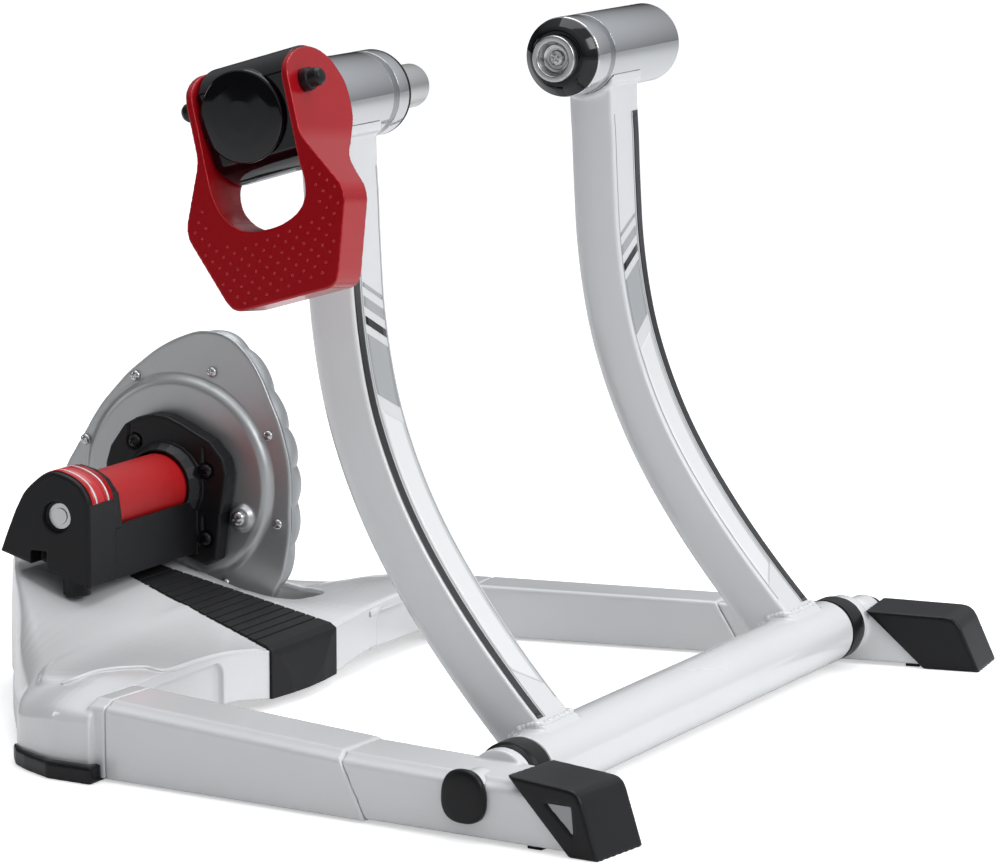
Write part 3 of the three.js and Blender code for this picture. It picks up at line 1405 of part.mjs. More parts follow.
// Resistance unit
place("roller", rollerBody(), "rollerRed");
place("roller_shaft",
  bar(roller.shaft, -holder.nearFace + roller.shaftShort, shaftEnd, ...rollerAxis, innerSteps), "steel");
place("near_bearing", bearingRing(bearingSeat + gap), "steel");
place("far_bearing", bearingRing(farBearing), "steel");
place("roller_holder", holderBody(), "black");
place("holder_label", holderLabel(), "rollerRed");
place("mount_pad", mountPadBody(), "rubber");
place("shaft_seal", ringOf(roller.shaft + runningGap, unit.boreRadius - runningGap, unit.face - unit.ringRise + gap,
  unit.face - unit.ringRise + unit.plateThick, rollerAxis, innerSteps), "rubber");
place("front_plate", frontPlate(), "alloy");
place("unit_gasket", gasket(), "rubber");
place("finned_casing", finnedCasing(), "alloy");
place("impeller", impellerWheel(), "alloy");
rimPlaces().forEach(([x, z], i) => place("rim_screw_" + (i + 1), domedScrew(unit.face, x, z, rimScrew, i), "steel"));
flangeScrewShares.forEach(([a, b], i) =>
  place("flange_screw_" + (i + 1), domedScrew(holder.flangeFace + reliefSlot.deep, -rollerBack + a * holderSide,
    rollerHeight + b * holderSide, flangeScrew, i), "black"));
const [fillerX, fillerZ] = fillerPlace();
place("filler_screw", domedScrew(unit.face - unit.ringRise - filler.bossRise, fillerX, fillerZ,
  { ...filler, shank: rimScrew.shank, shankLength: filler.bossRise + unit.plateThick }), "steel");

// The part stands on its feet, centred over its footprint
const bounds = new THREE.Box3().setFromObject(trainer);
const centre = bounds.getCenter(new THREE.Vector3());
trainer.children.forEach((mesh) => mesh.geometry.translate(-centre.x, -centre.y, -bounds.min.z));
trainer.userData.shift = [centre.x, centre.y, bounds.min.z];

export default trainer;
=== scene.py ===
"""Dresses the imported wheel-on turbo trainer: finishes, smooth pieces, moulded base, stripes and studio."""

import json
import logging
import math
from dataclasses import dataclass
from enum import Enum
from typing import Iterable, Sequence

import bmesh
import bpy
from mathutils import Matrix, Vector

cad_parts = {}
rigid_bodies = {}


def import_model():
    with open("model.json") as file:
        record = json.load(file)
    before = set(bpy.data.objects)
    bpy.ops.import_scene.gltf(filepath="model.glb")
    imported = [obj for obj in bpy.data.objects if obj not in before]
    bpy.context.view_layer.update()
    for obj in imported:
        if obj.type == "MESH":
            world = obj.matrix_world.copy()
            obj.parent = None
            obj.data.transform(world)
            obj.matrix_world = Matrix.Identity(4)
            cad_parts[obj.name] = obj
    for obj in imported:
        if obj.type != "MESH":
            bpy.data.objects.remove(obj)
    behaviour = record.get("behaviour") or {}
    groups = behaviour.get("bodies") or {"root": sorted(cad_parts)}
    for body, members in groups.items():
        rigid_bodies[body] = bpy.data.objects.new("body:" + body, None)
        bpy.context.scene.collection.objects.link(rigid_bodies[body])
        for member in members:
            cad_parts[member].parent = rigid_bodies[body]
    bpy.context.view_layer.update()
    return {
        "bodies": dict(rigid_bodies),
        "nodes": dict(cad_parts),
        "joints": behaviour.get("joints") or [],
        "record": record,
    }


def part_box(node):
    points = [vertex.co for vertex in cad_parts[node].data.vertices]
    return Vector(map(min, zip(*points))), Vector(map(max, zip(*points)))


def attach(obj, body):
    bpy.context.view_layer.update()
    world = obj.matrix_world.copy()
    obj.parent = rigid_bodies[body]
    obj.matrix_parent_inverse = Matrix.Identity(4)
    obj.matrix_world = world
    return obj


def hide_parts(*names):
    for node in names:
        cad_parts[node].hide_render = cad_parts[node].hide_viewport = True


log = logging.getLogger("turbo_trainer")

Profile = Sequence[tuple[float, float]]
Rows = Sequence[Sequence[Vector]]
Piece = bpy.types.Object
Tree = bpy.types.NodeTree
Socket = bpy.types.NodeSocket

MM = 0.001
# Axes across the trainer, in mm: forward from the front of the feet, and up from the floor
CROSS = (-86.7, 25.0)
AXLE = (-229.4, 392.5)
# Signs of a rectangle's corners, in order
CORNERS = ((-1, -1), (1, -1), (1, 1), (-1, 1))
SIDES = {"near": -1, "far": 1}
SHARP = 35.0


class Pattern(Enum):
    """The kinds of fine surface a finish can have."""

    GLOSS = "gloss"
    GRAIN = "grain"
    CAST = "cast"
    SPUN = "spun"


class Refine(Enum):
    """How a carried-over CAD node is softened, as voxel size in mm and rounds of smoothing."""

    PLAIN = (0.0, 0)
    SOFT = (0.8, 6)
    ROUND = (1.0, 14)
    TINY = (0.2, 2)
    RIBBED = (0.3, 2)


# Shared node groups


def new_group(name: str, inputs: dict[str, float], outputs: dict[str, str]) -> Tree:
    """Makes a shader node group with number inputs and typed outputs.

    Args:
        name: name of the group.
        inputs: each input's name and first value.
        outputs: each output's name and socket type.

    Returns:
        The new node tree, with its group input and output nodes.
    """
    tree = bpy.data.node_groups.new(name, "ShaderNodeTree")
    tree.interface.new_socket("Place", in_out="INPUT", socket_type="NodeSocketVector")
    for label, value in inputs.items():
        socket = tree.interface.new_socket(label, in_out="INPUT", socket_type="NodeSocketFloat")
        socket.default_value = value
    for label, kind in outputs.items():
        tree.interface.new_socket(label, in_out="OUTPUT", socket_type=kind)
    tree.nodes.new("NodeGroupInput").name = "in"
    tree.nodes.new("NodeGroupOutput").name = "out"
    return tree


def noise_into(tree: Tree, scale: str | float, detail: float, stretch: Vector | None = None) -> Socket:
    """Adds a noise texture to a group, on its Place input.

    Args:
        tree: the group.
        scale: an input's name, or a fixed number.
        detail: octaves of the noise.
        stretch: factors for the place along X, Y and Z.

    Returns:
        The noise's number output.
    """
    noise = tree.nodes.new("ShaderNodeTexNoise")
    noise.inputs["Detail"].default_value = detail
    place = tree.nodes["in"].outputs["Place"]
    if stretch is not None:
        mapping = tree.nodes.new("ShaderNodeMapping")
        mapping.inputs["Scale"].default_value = stretch
        tree.links.new(place, mapping.inputs["Vector"])
        place = mapping.outputs["Vector"]
    tree.links.new(place, noise.inputs["Vector"])
    if isinstance(scale, str):
        tree.links.new(tree.nodes["in"].outputs[scale], noise.inputs["Scale"])
    else:
        noise.inputs["Scale"].default_value = scale
    return noise.outputs["Fac"]


def spread(tree: Tree, value: Socket, low: str, high: str) -> Socket:
    """Maps a 0 to 1 number between two of the group's inputs.

    Args:
        tree: the group.
        value: the number to map.
        low: name of the input for the low end.
        high: name of the input for the high end.

    Returns:
        The mapped number.
    """
    ranged = tree.nodes.new("ShaderNodeMapRange")
    ranged.inputs["From Min"].default_value = 0.3
    ranged.inputs["From Max"].default_value = 0.7
    tree.links.new(value, ranged.inputs["Value"])
    tree.links.new(tree.nodes["in"].outputs[low], ranged.inputs["To Min"])
    tree.links.new(tree.nodes["in"].outputs[high], ranged.inputs["To Max"])
    return ranged.outputs["Result"]


def surface_group(pattern: Pattern) -> Tree:
    """The shared effect of one pattern: a height, a roughness and a shade that change over the surface.

    Args:
        pattern: which fine surface the group gives.

    Returns:
        The group, made once and then reused.
    """
    name = "Surface_" + pattern.value
    if name in bpy.data.node_groups:
        return bpy.data.node_groups[name]
    tree = new_group(
        name,
        {"Scale": 400.0, "Smooth": 0.2, "Rough": 0.3},
        {"Height": "NodeSocketFloat", "Roughness": "NodeSocketFloat", "Shade": "NodeSocketFloat"},
    )
    stretch = Vector((1.0, 0.05, 1.0)) if pattern is Pattern.SPUN else None
    detail = {Pattern.GLOSS: 1.0, Pattern.GRAIN: 4.0, Pattern.CAST: 6.0, Pattern.SPUN: 3.0}[pattern]
    fine = noise_into(tree, "Scale", detail, stretch)
    patch = noise_into(tree, 9.0, 3.0)
    out = tree.nodes["out"]
    tree.links.new(fine, out.inputs["Height"])
    tree.links.new(spread(tree, patch, "Smooth", "Rough"), out.inputs["Roughness"])
    tree.links.new(patch, out.inputs["Shade"])
    return tree


@dataclass(frozen=True)
class Finish:
    """One finish of the trainer and the numbers its material is made from."""

    name: str
    color: tuple[float, float, float]
    shade: tuple[float, float, float]
    smooth: float
    rough: float
    metallic: float = 0.0
    coat: float = 0.0
    coat_roughness: float = 0.05
    specular: float = 0.5
    pattern: Pattern = Pattern.GLOSS
    scale: float = 300.0
    relief: float = 0.02

    def material(self) -> bpy.types.Material:
        """The material of this finish.

        Returns:
            The material, made once and then reused.
        """
        if self.name in bpy.data.materials:
            return bpy.data.materials[self.name]
        made = bpy.data.materials.new(self.name)
        made.use_nodes = True
        tree = made.node_tree
        shader = tree.nodes["Principled BSDF"]
        place = tree.nodes.new("ShaderNodeTexCoord")
        skin = tree.nodes.new("ShaderNodeGroup")
        skin.node_tree = surface_group(self.pattern)
        for label, value in (("Scale", self.scale), ("Smooth", self.smooth), ("Rough", self.rough)):
            skin.inputs[label].default_value = value
        tree.links.new(place.outputs["Object"], skin.inputs["Place"])
        tint = tree.nodes.new("ShaderNodeMix")
        tint.data_type = "RGBA"
        tint.inputs["A"].default_value = (*self.color, 1.0)
        tint.inputs["B"].default_value = (*self.shade, 1.0)
        tree.links.new(skin.outputs["Shade"], tint.inputs["Factor"])
        tree.links.new(tint.outputs["Result"], shader.inputs["Base Color"])
        tree.links.new(skin.outputs["Roughness"], shader.inputs["Roughness"])
        bump = tree.nodes.new("ShaderNodeBump")
        bump.inputs["Strength"].default_value = 1.0
        bump.inputs["Distance"].default_value = self.relief * MM
        tree.links.new(skin.outputs["Height"], bump.inputs["Height"])
        tree.links.new(bump.outputs["Normal"], shader.inputs["Normal"])
        shader.inputs["Metallic"].default_value = self.metallic
        shader.inputs["Coat Weight"].default_value = self.coat
        shader.inputs["Coat Roughness"].default_value = self.coat_roughness
        shader.inputs["Specular IOR Level"].default_value = self.specular
        made.diffuse_color = (*self.color, 1.0)
        return made


WHITE_MOULD = Finish("White_moulding", (0.70, 0.71, 0.72), (0.74, 0.745, 0.75), 0.16, 0.24,
                     coat=0.35, scale=90, relief=0.03)
WHITE_PAINT = Finish("White_paint", (0.68, 0.69, 0.70), (0.72, 0.725, 0.73), 0.20, 0.28,
                     coat=0.6, scale=260, relief=0.04)
TREAD = Finish("Tread_rubber", (0.011, 0.011, 0.012), (0.018, 0.018, 0.019), 0.5, 0.68,
               specular=0.2, pattern=Pattern.GRAIN, scale=1500, relief=0.06)
FOOT = Finish("Foot_rubber", (0.005, 0.005, 0.006), (0.009, 0.009, 0.01), 0.26, 0.42,
              specular=0.26, pattern=Pattern.GRAIN, scale=1200, relief=0.04)
STEEL = Finish("Bolt_steel", (0.62, 0.62, 0.61), (0.5, 0.5, 0.5), 0.18, 0.34, 1.0,
               pattern=Pattern.GRAIN, scale=900, relief=0.01)
CHROME = Finish("Chrome", (0.66, 0.67, 0.68), (0.60, 0.61, 0.62), 0.05, 0.10, 1.0, scale=60, relief=0.004)
BAND = Finish("Band_steel", (0.40, 0.41, 0.42), (0.32, 0.33, 0.34), 0.22, 0.34, 1.0,
              pattern=Pattern.SPUN, scale=900, relief=0.01)
GLOSS_BLACK = Finish("Gloss_black", (0.002, 0.002, 0.003), (0.004, 0.004, 0.005), 0.05, 0.1,
                     coat=0.25, specular=0.3, scale=70, relief=0.01)
ALLOY = Finish("Thrust_alloy", (0.66, 0.66, 0.65), (0.55, 0.55, 0.55), 0.22, 0.36, 1.0,
               pattern=Pattern.SPUN, scale=1100, relief=0.02)
LEVER_RED = Finish("Lever_red", (0.44, 0.006, 0.012), (0.36, 0.004, 0.009), 0.16, 0.26, 0.25,
                   coat=0.3, specular=0.3, scale=200, relief=0.02)
PIN_BLACK = Finish("Pin_black", (0.005, 0.005, 0.006), (0.009, 0.009, 0.01), 0.25, 0.4,
                   specular=0.3, scale=300, relief=0.02)
ROLLER_RED = Finish("Roller_red", (0.46, 0.012, 0.014), (0.36, 0.008, 0.010), 0.34, 0.5,
                    specular=0.4, pattern=Pattern.GRAIN, scale=1600, relief=0.03)
LABEL_RED = Finish("Label_red", (0.56, 0.008, 0.014), (0.5, 0.006, 0.012), 0.2, 0.3,
                   coat=0.4, scale=120, relief=0.01)
HOLDER = Finish("Holder_black", (0.006, 0.006, 0.007), (0.010, 0.010, 0.011), 0.32, 0.48,
                specular=0.26, pattern=Pattern.GRAIN, scale=1700, relief=0.05)
PLATE = Finish("Plate_alloy", (0.50, 0.51, 0.515), (0.42, 0.43, 0.435), 0.36, 0.5, 0.85,
               pattern=Pattern.CAST, scale=1400, relief=0.04)
CASING = Finish("Casing_alloy", (0.46, 0.47, 0.48), (0.38, 0.39, 0.40), 0.4, 0.55, 0.8,
                pattern=Pattern.CAST, scale=700, relief=0.12)
WINDOW = Finish("Window_grey", (0.36, 0.37, 0.38), (0.3, 0.31, 0.32), 0.3, 0.45, scale=200, relief=0.02)
DECAL_BLACK = Finish("Stripe_black", (0.006, 0.006, 0.007), (0.009, 0.009, 0.01), 0.2, 0.3,
                     coat=0.3, scale=200, relief=0.01)
DECAL_GREY = Finish("Stripe_grey", (0.40, 0.41, 0.42), (0.36, 0.37, 0.38), 0.2, 0.3,
                    coat=0.3, scale=200, relief=0.01)
DECAL_WHITE = Finish("Stripe_white", (0.78, 0.785, 0.79), (0.75, 0.755, 0.76), 0.18, 0.26,
                     coat=0.4, scale=200, relief=0.01)


# Mesh making


def linked(name: str, data: bpy.types.ID | None) -> Piece:
    """Makes an object and links it to the scene.

    Args:
        name: name of the object.
        data: what it shows or holds.

    Returns:
        The new object.
    """
    made = bpy.data.objects.new(name, data)
    bpy.context.scene.collection.objects.link(made)
    return made


def shaded(mesh: bpy.types.Mesh, sharp: float = SHARP) -> None:
    """Shades a mesh smooth, with sharp edges above an angle in degrees."""
    mesh.shade_smooth()
    mesh.set_sharp_from_angle(angle=math.radians(sharp))


def piece_of(name: str, points: Iterable[Vector], faces: Iterable[Sequence[int]],
             sharp: float = SHARP) -> Piece:
    """Makes a smooth-shaded mesh object with sharp edges above an angle.

    Args:
        name: name of the piece.
        points: its corners in metres.
        faces: its faces as corner numbers.
        sharp: angle in degrees above which an edge stays sharp.

    Returns:
        The new object, linked to the scene.
    """
    mesh = bpy.data.meshes.new(name)
    mesh.from_pydata([tuple(p) for p in points], [], [tuple(f) for f in faces])
    tidy = bmesh.new()
    tidy.from_mesh(mesh)
    bmesh.ops.remove_doubles(tidy, verts=tidy.verts, dist=1e-6)
    bmesh.ops.recalc_face_normals(tidy, faces=tidy.faces)
    tidy.to_mesh(mesh)
    tidy.free()
    shaded(mesh, sharp)
    return linked(name, mesh)


def softened(profile: Profile, radius: float, steps: int = 4) -> list[tuple[float, float]]:
    """Rounds the inner corners of a line of points.

    Args:
        profile: the points.
        radius: how far from each corner the rounding starts, at most.
        steps: points per corner.

    Returns:
        The line with each corner as a short curve.
    """
    made = [profile[0]]
    for before, corner, after in zip(profile, profile[1:], profile[2:]):
        a, b, c = Vector(before), Vector(corner), Vector(after)
        reach = min(radius, (a - b).length * 0.48, (c - b).length * 0.48)
        if reach < 1e-7:
            made.append(corner)
            continue
        start = b + (a - b).normalized() * reach
        end = b + (c - b).normalized() * reach
        for i in range(steps + 1):
            t = i / steps
            made.append(tuple(start * (1 - t) ** 2 + b * 2 * t * (1 - t) + end * t**2))
    made.append(profile[-1])
    return made


def lathe(name: str, profile: Profile, centre: Vector, soft: float = 0.4 * MM, steps: int = 96,
          turn: Matrix | None = None) -> Piece:
    """Turns a profile about an axis through a centre.

    Args:
        name: name of the piece.
        profile: points as radius and place along the axis, in metres.
        centre: a point on the axis; places along the axis count from it.
        soft: size of the rounding at the profile's corners.
        steps: faces round the axis.
        turn: rotation that takes Y to the axis, or nothing for the Y axis.

    Returns:
        The turned piece.
    """
    line = softened(profile, soft) if soft else list(profile)
    turn = turn or Matrix.Identity(3)
    points, faces = [], []
    for radius, place in line:
        for k in range(steps):
            angle = 2 * math.pi * k / steps
            points.append(centre + turn @ Vector((radius * math.cos(angle), place, radius * math.sin(angle))))
    for i in range(len(line) - 1):
        for k in range(steps):
            j = (k + 1) % steps
            faces.append((i * steps + k, i * steps + j, (i + 1) * steps + j, (i + 1) * steps + k))
    return piece_of(name, points, faces)


def grid(name: str, rows: Rows, closed: bool, caps: bool, sharp: float = SHARP) -> Piece:
    """Skins rows of points of equal count.

    Args:
        name: name of the piece.
        rows: the rows, each a list of points.
        closed: whether each row is a ring.
        caps: whether the first and last ring are filled.
        sharp: angle in degrees above which an edge stays sharp.

    Returns:
        The skinned piece.
    """
    count = len(rows[0])
    faces = []
    for i in range(len(rows) - 1):
        for k in range(count if closed else count - 1):
            j = (k + 1) % count
            faces.append((i * count + k, i * count + j, (i + 1) * count + j, (i + 1) * count + k))
    if caps:
        faces.append(tuple(range(count)))
        faces.append(tuple((len(rows) - 1) * count + k for k in range(count)))
    return piece_of(name, [p for row in rows for p in row], faces, sharp)


def catmull(values: Sequence[float], t: float) -> float:
    """The value at t along a smooth line through numbers placed at 0, 1, 2 and on.

    Args:
        values: the numbers.
        t: place, from 0 to the last number's place.

    Returns:
        The number there.
    """
    i = min(max(int(t), 0), len(values) - 2)
    u = t - i
    a, b, c, d = (values[min(max(i + k, 0), len(values) - 1)] for k in (-1, 0, 1, 2))
    return 0.5 * (2 * b + (c - a) * u + (2 * a - 5 * b + 4 * c - d) * u**2 + (3 * b - a - 3 * c + d) * u**3)


def curve(points: Sequence[Sequence[float]], fine: int) -> list[tuple[float, ...]]:
    """A smooth line through points.

    Args:
        points: the points, each a row of equally many numbers.
        fine: how many steps lie between two neighbours.

    Returns:
        The points of the line, from the first given one to the last.
    """
    columns = list(zip(*points))
    count = (len(points) - 1) * fine
    return [tuple(catmull(column, i / fine) for column in columns) for i in range(count + 1)]


def ball(name: str, centre: Vector, radii: Vector, rings: int = 10) -> Piece:
    """A smooth ellipsoid, as for a bead or drop of weld.

    Args:
        name: name of the piece.
        centre: its middle.
        radii: half sizes along X, Y and Z.
        rings: rows of faces from pole to pole.

    Returns:
        The ellipsoid.
    """
    rows = []
    for i in range(rings + 1):
        lat = math.pi * i / rings - math.pi / 2
        rows.append([
            centre + Vector((radii.x * math.cos(lat) * math.cos(lon), radii.y * math.cos(lat) * math.sin(lon),
                             radii.z * math.sin(lat)))
            for lon in (2 * math.pi * k / (2 * rings) for k in range(2 * rings))
        ])
    return grid(name, rows, closed=True, caps=False)


def joined(name: str, parts: Sequence[Piece]) -> Piece:
    """Joins objects into one mesh object.

    Args:
        name: name of the joined piece.
        parts: the objects, which are used up.

    Returns:
        The joined piece.
    """
    whole = bmesh.new()
    for part in parts:
        whole.from_mesh(part.data)
        bpy.data.objects.remove(part)
    mesh = bpy.data.meshes.new(name)
    whole.to_mesh(mesh)
    whole.free()
    return linked(name, mesh)


class Cut(Enum):
    """The kinds of boolean that join two closed pieces."""

    UNION = "UNION"
    DIFFERENCE = "DIFFERENCE"
    INTERSECT = "INTERSECT"


def baked(piece: Piece) -> Piece:
    """Turns a piece's modifiers into its own mesh.

    Args:
        piece: the piece with modifiers.

    Returns:
        The same piece without them.
    """
    bpy.context.view_layer.update()
    shown = piece.evaluated_get(bpy.context.evaluated_depsgraph_get())
    mesh = bpy.data.meshes.new_from_object(shown)
    piece.modifiers.clear()
    piece.data = mesh
    return piece


def combined(piece: Piece, other: Piece, how: Cut) -> Piece:
    """Joins another closed piece to a piece, cuts it away or keeps what both share.

    Args:
        piece: the piece that is changed.
        other: the piece that is used up.
        how: which boolean is made.

    Returns:
        The changed piece.
    """
    step = piece.modifiers.new("Cut", "BOOLEAN")
    step.operation = how.value
    step.solver = "EXACT"
    step.object = other
    baked(piece)
    bpy.data.objects.remove(other)
    return piece


def add_skin(piece: Piece, voxel: float, rounds: int) -> None:
    """Adds modifiers that skin a piece anew on a fine grid and smooth it.

    Args:
        piece: a closed piece.
        voxel: size of the grid in mm.
        rounds: rounds of smoothing.
    """
    skin = piece.modifiers.new("Skin", "REMESH")
    skin.mode = "VOXEL"
    skin.voxel_size = voxel * MM
    skin.use_smooth_shade = True
    soften = piece.modifiers.new("Soften", "SMOOTH")
    soften.iterations = rounds


def molten(piece: Piece, voxel: float, rounds: int) -> Piece:
    """Skins a closed piece anew and smooths it, so that its inner and outer corners get rounded.

    Args:
        piece: a closed piece.
        voxel: size of the grid in mm.
        rounds: rounds of smoothing.

    Returns:
        The piece with its new mesh.
    """
    add_skin(piece, voxel, rounds)
    return baked(piece)


def sheet(name: str, rows: Rows, thick: float) -> Piece:
    """A thin closed skin with its middle on rows of points.

    Args:
        name: name of the piece.
        rows: the rows, each a list of points.
        thick: its thickness in mm.

    Returns:
        The skin.
    """
    made = grid(name, rows, closed=False, caps=False)
    shell = made.modifiers.new("Thick", "SOLIDIFY")
    shell.thickness = thick * MM
    shell.offset = 0
    return baked(made)


def rounds(inner: float, outer: float, low: float, high: float) -> list[tuple[float, float]]:
    """The profile of a plain ring: its inner and outer radius, and its two ends along the axis."""
    return [(inner, low), (outer, low), (outer, high), (inner, high), (inner, low)]


def mirrored(profile: Profile, side: int) -> list[tuple[float, float]]:
    """A profile with its places on the near side (-1) or the far side (1)."""
    return [(radius, side * place) for radius, place in profile]


def block(name: str, outline: Sequence[Vector], reach: Vector) -> Piece:
    """A prism from a flat outline.

    Args:
        name: name of the piece.
        outline: corners of one end, in metres.
        reach: the way to the other end.

    Returns:
        The prism.
    """
    return grid(name, [list(outline), [p + reach for p in outline]], closed=True, caps=True)


def rounded(width: float, height: float, corner: float, middle: tuple[float, float],
            turns: int = 8) -> list[tuple[float, float]]:
    """Points of a rectangle with round corners.

    Args:
        width: full size along the first direction.
        height: full size along the second direction.
        corner: radius of the corners.
        middle: where its centre lies.
        turns: faces per corner.

    Returns:
        The points in order.
    """
    points = []
    for q, (sx, sy) in enumerate(((1, 1), (-1, 1), (-1, -1), (1, -1))):
        for i in range(turns + 1):
            angle = (q + i / turns) * math.pi / 2
            points.append((middle[0] + sx * (width / 2 - corner) + corner * math.cos(angle),
                           middle[1] + sy * (height / 2 - corner) + corner * math.sin(angle)))
    return points


def clear_of(outline: Profile, spot: tuple[float, float], margin: float) -> bool:
    """Whether a spot lies inside a convex outline and away from its edges.

    Args:
        outline: corners in order, either way round.
        spot: the spot.
        margin: least distance from every edge.

    Returns:
        True where the spot is clear of all edges.
    """
    sides = []
    for (ax, ay), (bx, by) in zip(outline, list(outline[1:]) + [outline[0]]):
        length = math.hypot(bx - ax, by - ay)
        sides.append(((bx - ax) * (spot[1] - ay) - (by - ay) * (spot[0] - ax)) / length)
    return all(d > margin for d in sides) or all(d < -margin for d in sides)


# Putting pieces on the frame


class Bench:
    """Holds the loaded frame, and fits materials and pieces to it."""

    def __init__(self, frame: dict) -> None:
        """Reads which body carries each node.
        """
        self.nodes: dict[str, Piece] = frame["nodes"]
        self.bodies: dict[str, str] = {
            node: body for body, members in frame["record"]["behaviour"]["bodies"].items() for node in members
        }
        self.front = self.middle("near_pivot_bush").x - CROSS[0] * MM

    def place(self, x: float, y: float, z: float) -> Vector:
        """Where a place counted in mm from the front of the feet lies."""
        return Vector((self.front + x * MM, y * MM, z * MM))

    def turned(self, name: str, profile: Profile, axis: tuple[float, float] = AXLE, soft: float = 0.5,
               steps: int = 128) -> Piece:
        """A turned piece about an axis across the trainer, sized in mm.

        Args:
            name: name of the piece.
            profile: points as radius and place along the axis.
            axis: where the axis lies, forward and up.
            soft: size of the rounding at corners.
            steps: faces round the axis.

        Returns:
            The turned piece.
        """
        line = [(radius * MM, place * MM) for radius, place in profile]
        return lathe(name, line, self.place(axis[0], 0, axis[1]), soft * MM, steps)

    def rod(self, name: str, radius: float, ends: tuple[float, float], axis: tuple[float, float] = AXLE,
            soft: float = 0.0, steps: int = 128) -> Piece:
        """A plain round bar about an axis across the trainer, sized in mm.

        Args:
            name: name of the piece.
            radius: its radius.
            ends: where it begins and ends across the trainer.
            axis: where the axis lies, forward and up.
            soft: size of the rounding at its ends.
            steps: faces round the axis.

        Returns:
            The bar.
        """
        low, high = ends
        return self.turned(name, [(0, low), (radius, low), (radius, high), (0, high)], axis, soft, steps)

    def copy(self, node: str) -> Piece:
        """A copy of a CAD node, to cut or join with.

        Args:
            node: name of the node.

        Returns:
            The copy, placed as the node is.
        """
        mesh = self.nodes[node].data.copy()
        tidy = bmesh.new()
        tidy.from_mesh(mesh)
        bmesh.ops.remove_doubles(tidy, verts=tidy.verts, dist=1e-6)
        tidy.to_mesh(mesh)
        tidy.free()
        mesh.transform(self.nodes[node].matrix_world)
        return linked("copy_of_" + node, mesh)

    def box(self, node: str) -> tuple[Vector, Vector]:
        """The lowest and highest corner of a node."""
        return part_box(node)

    def middle(self, node: str) -> Vector:
        """The middle of a node's box."""
        low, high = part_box(node)
        return (low + high) / 2

    def dress(self, node: str, finish: Finish, refine: Refine = Refine.PLAIN) -> Piece:
        """Gives a CAD node its finish and softens its edges with modifiers.

        Args:
            node: name of the node.
            finish: the finish it takes.
            refine: how much it is softened.

        Returns:
            The node's object.
        """
        shown = self.nodes[node]
        shown.data.materials.clear()
        shown.data.materials.append(finish.material())
        voxel, rounds = refine.value
        if voxel:
            weld = shown.modifiers.new("Weld", "WELD")
            weld.merge_threshold = 1e-5
            add_skin(shown, voxel, rounds)
        log.info("dressed %s in %s", node, finish.name)
        return shown

    def fit(self, piece: Piece, finish: Finish, *nodes: str, keep: bool = False) -> Piece:
        """Rides a new piece on the body of the node that it stands for or sits on.

        Args:
            piece: the new piece.
            finish: the finish it takes.
            nodes: the nodes that it replaces, or sits on where keep is set.
            keep: whether the nodes stay shown.

        Returns:
            The piece.
        """
        piece.data.materials.clear()
        piece.data.materials.append(finish.material())
        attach(piece, self.bodies[nodes[0]])
        if not keep:
            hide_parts(*nodes)
        log.info("made %s in %s", piece.name, finish.name)
        return piece


# Sub-assemblies


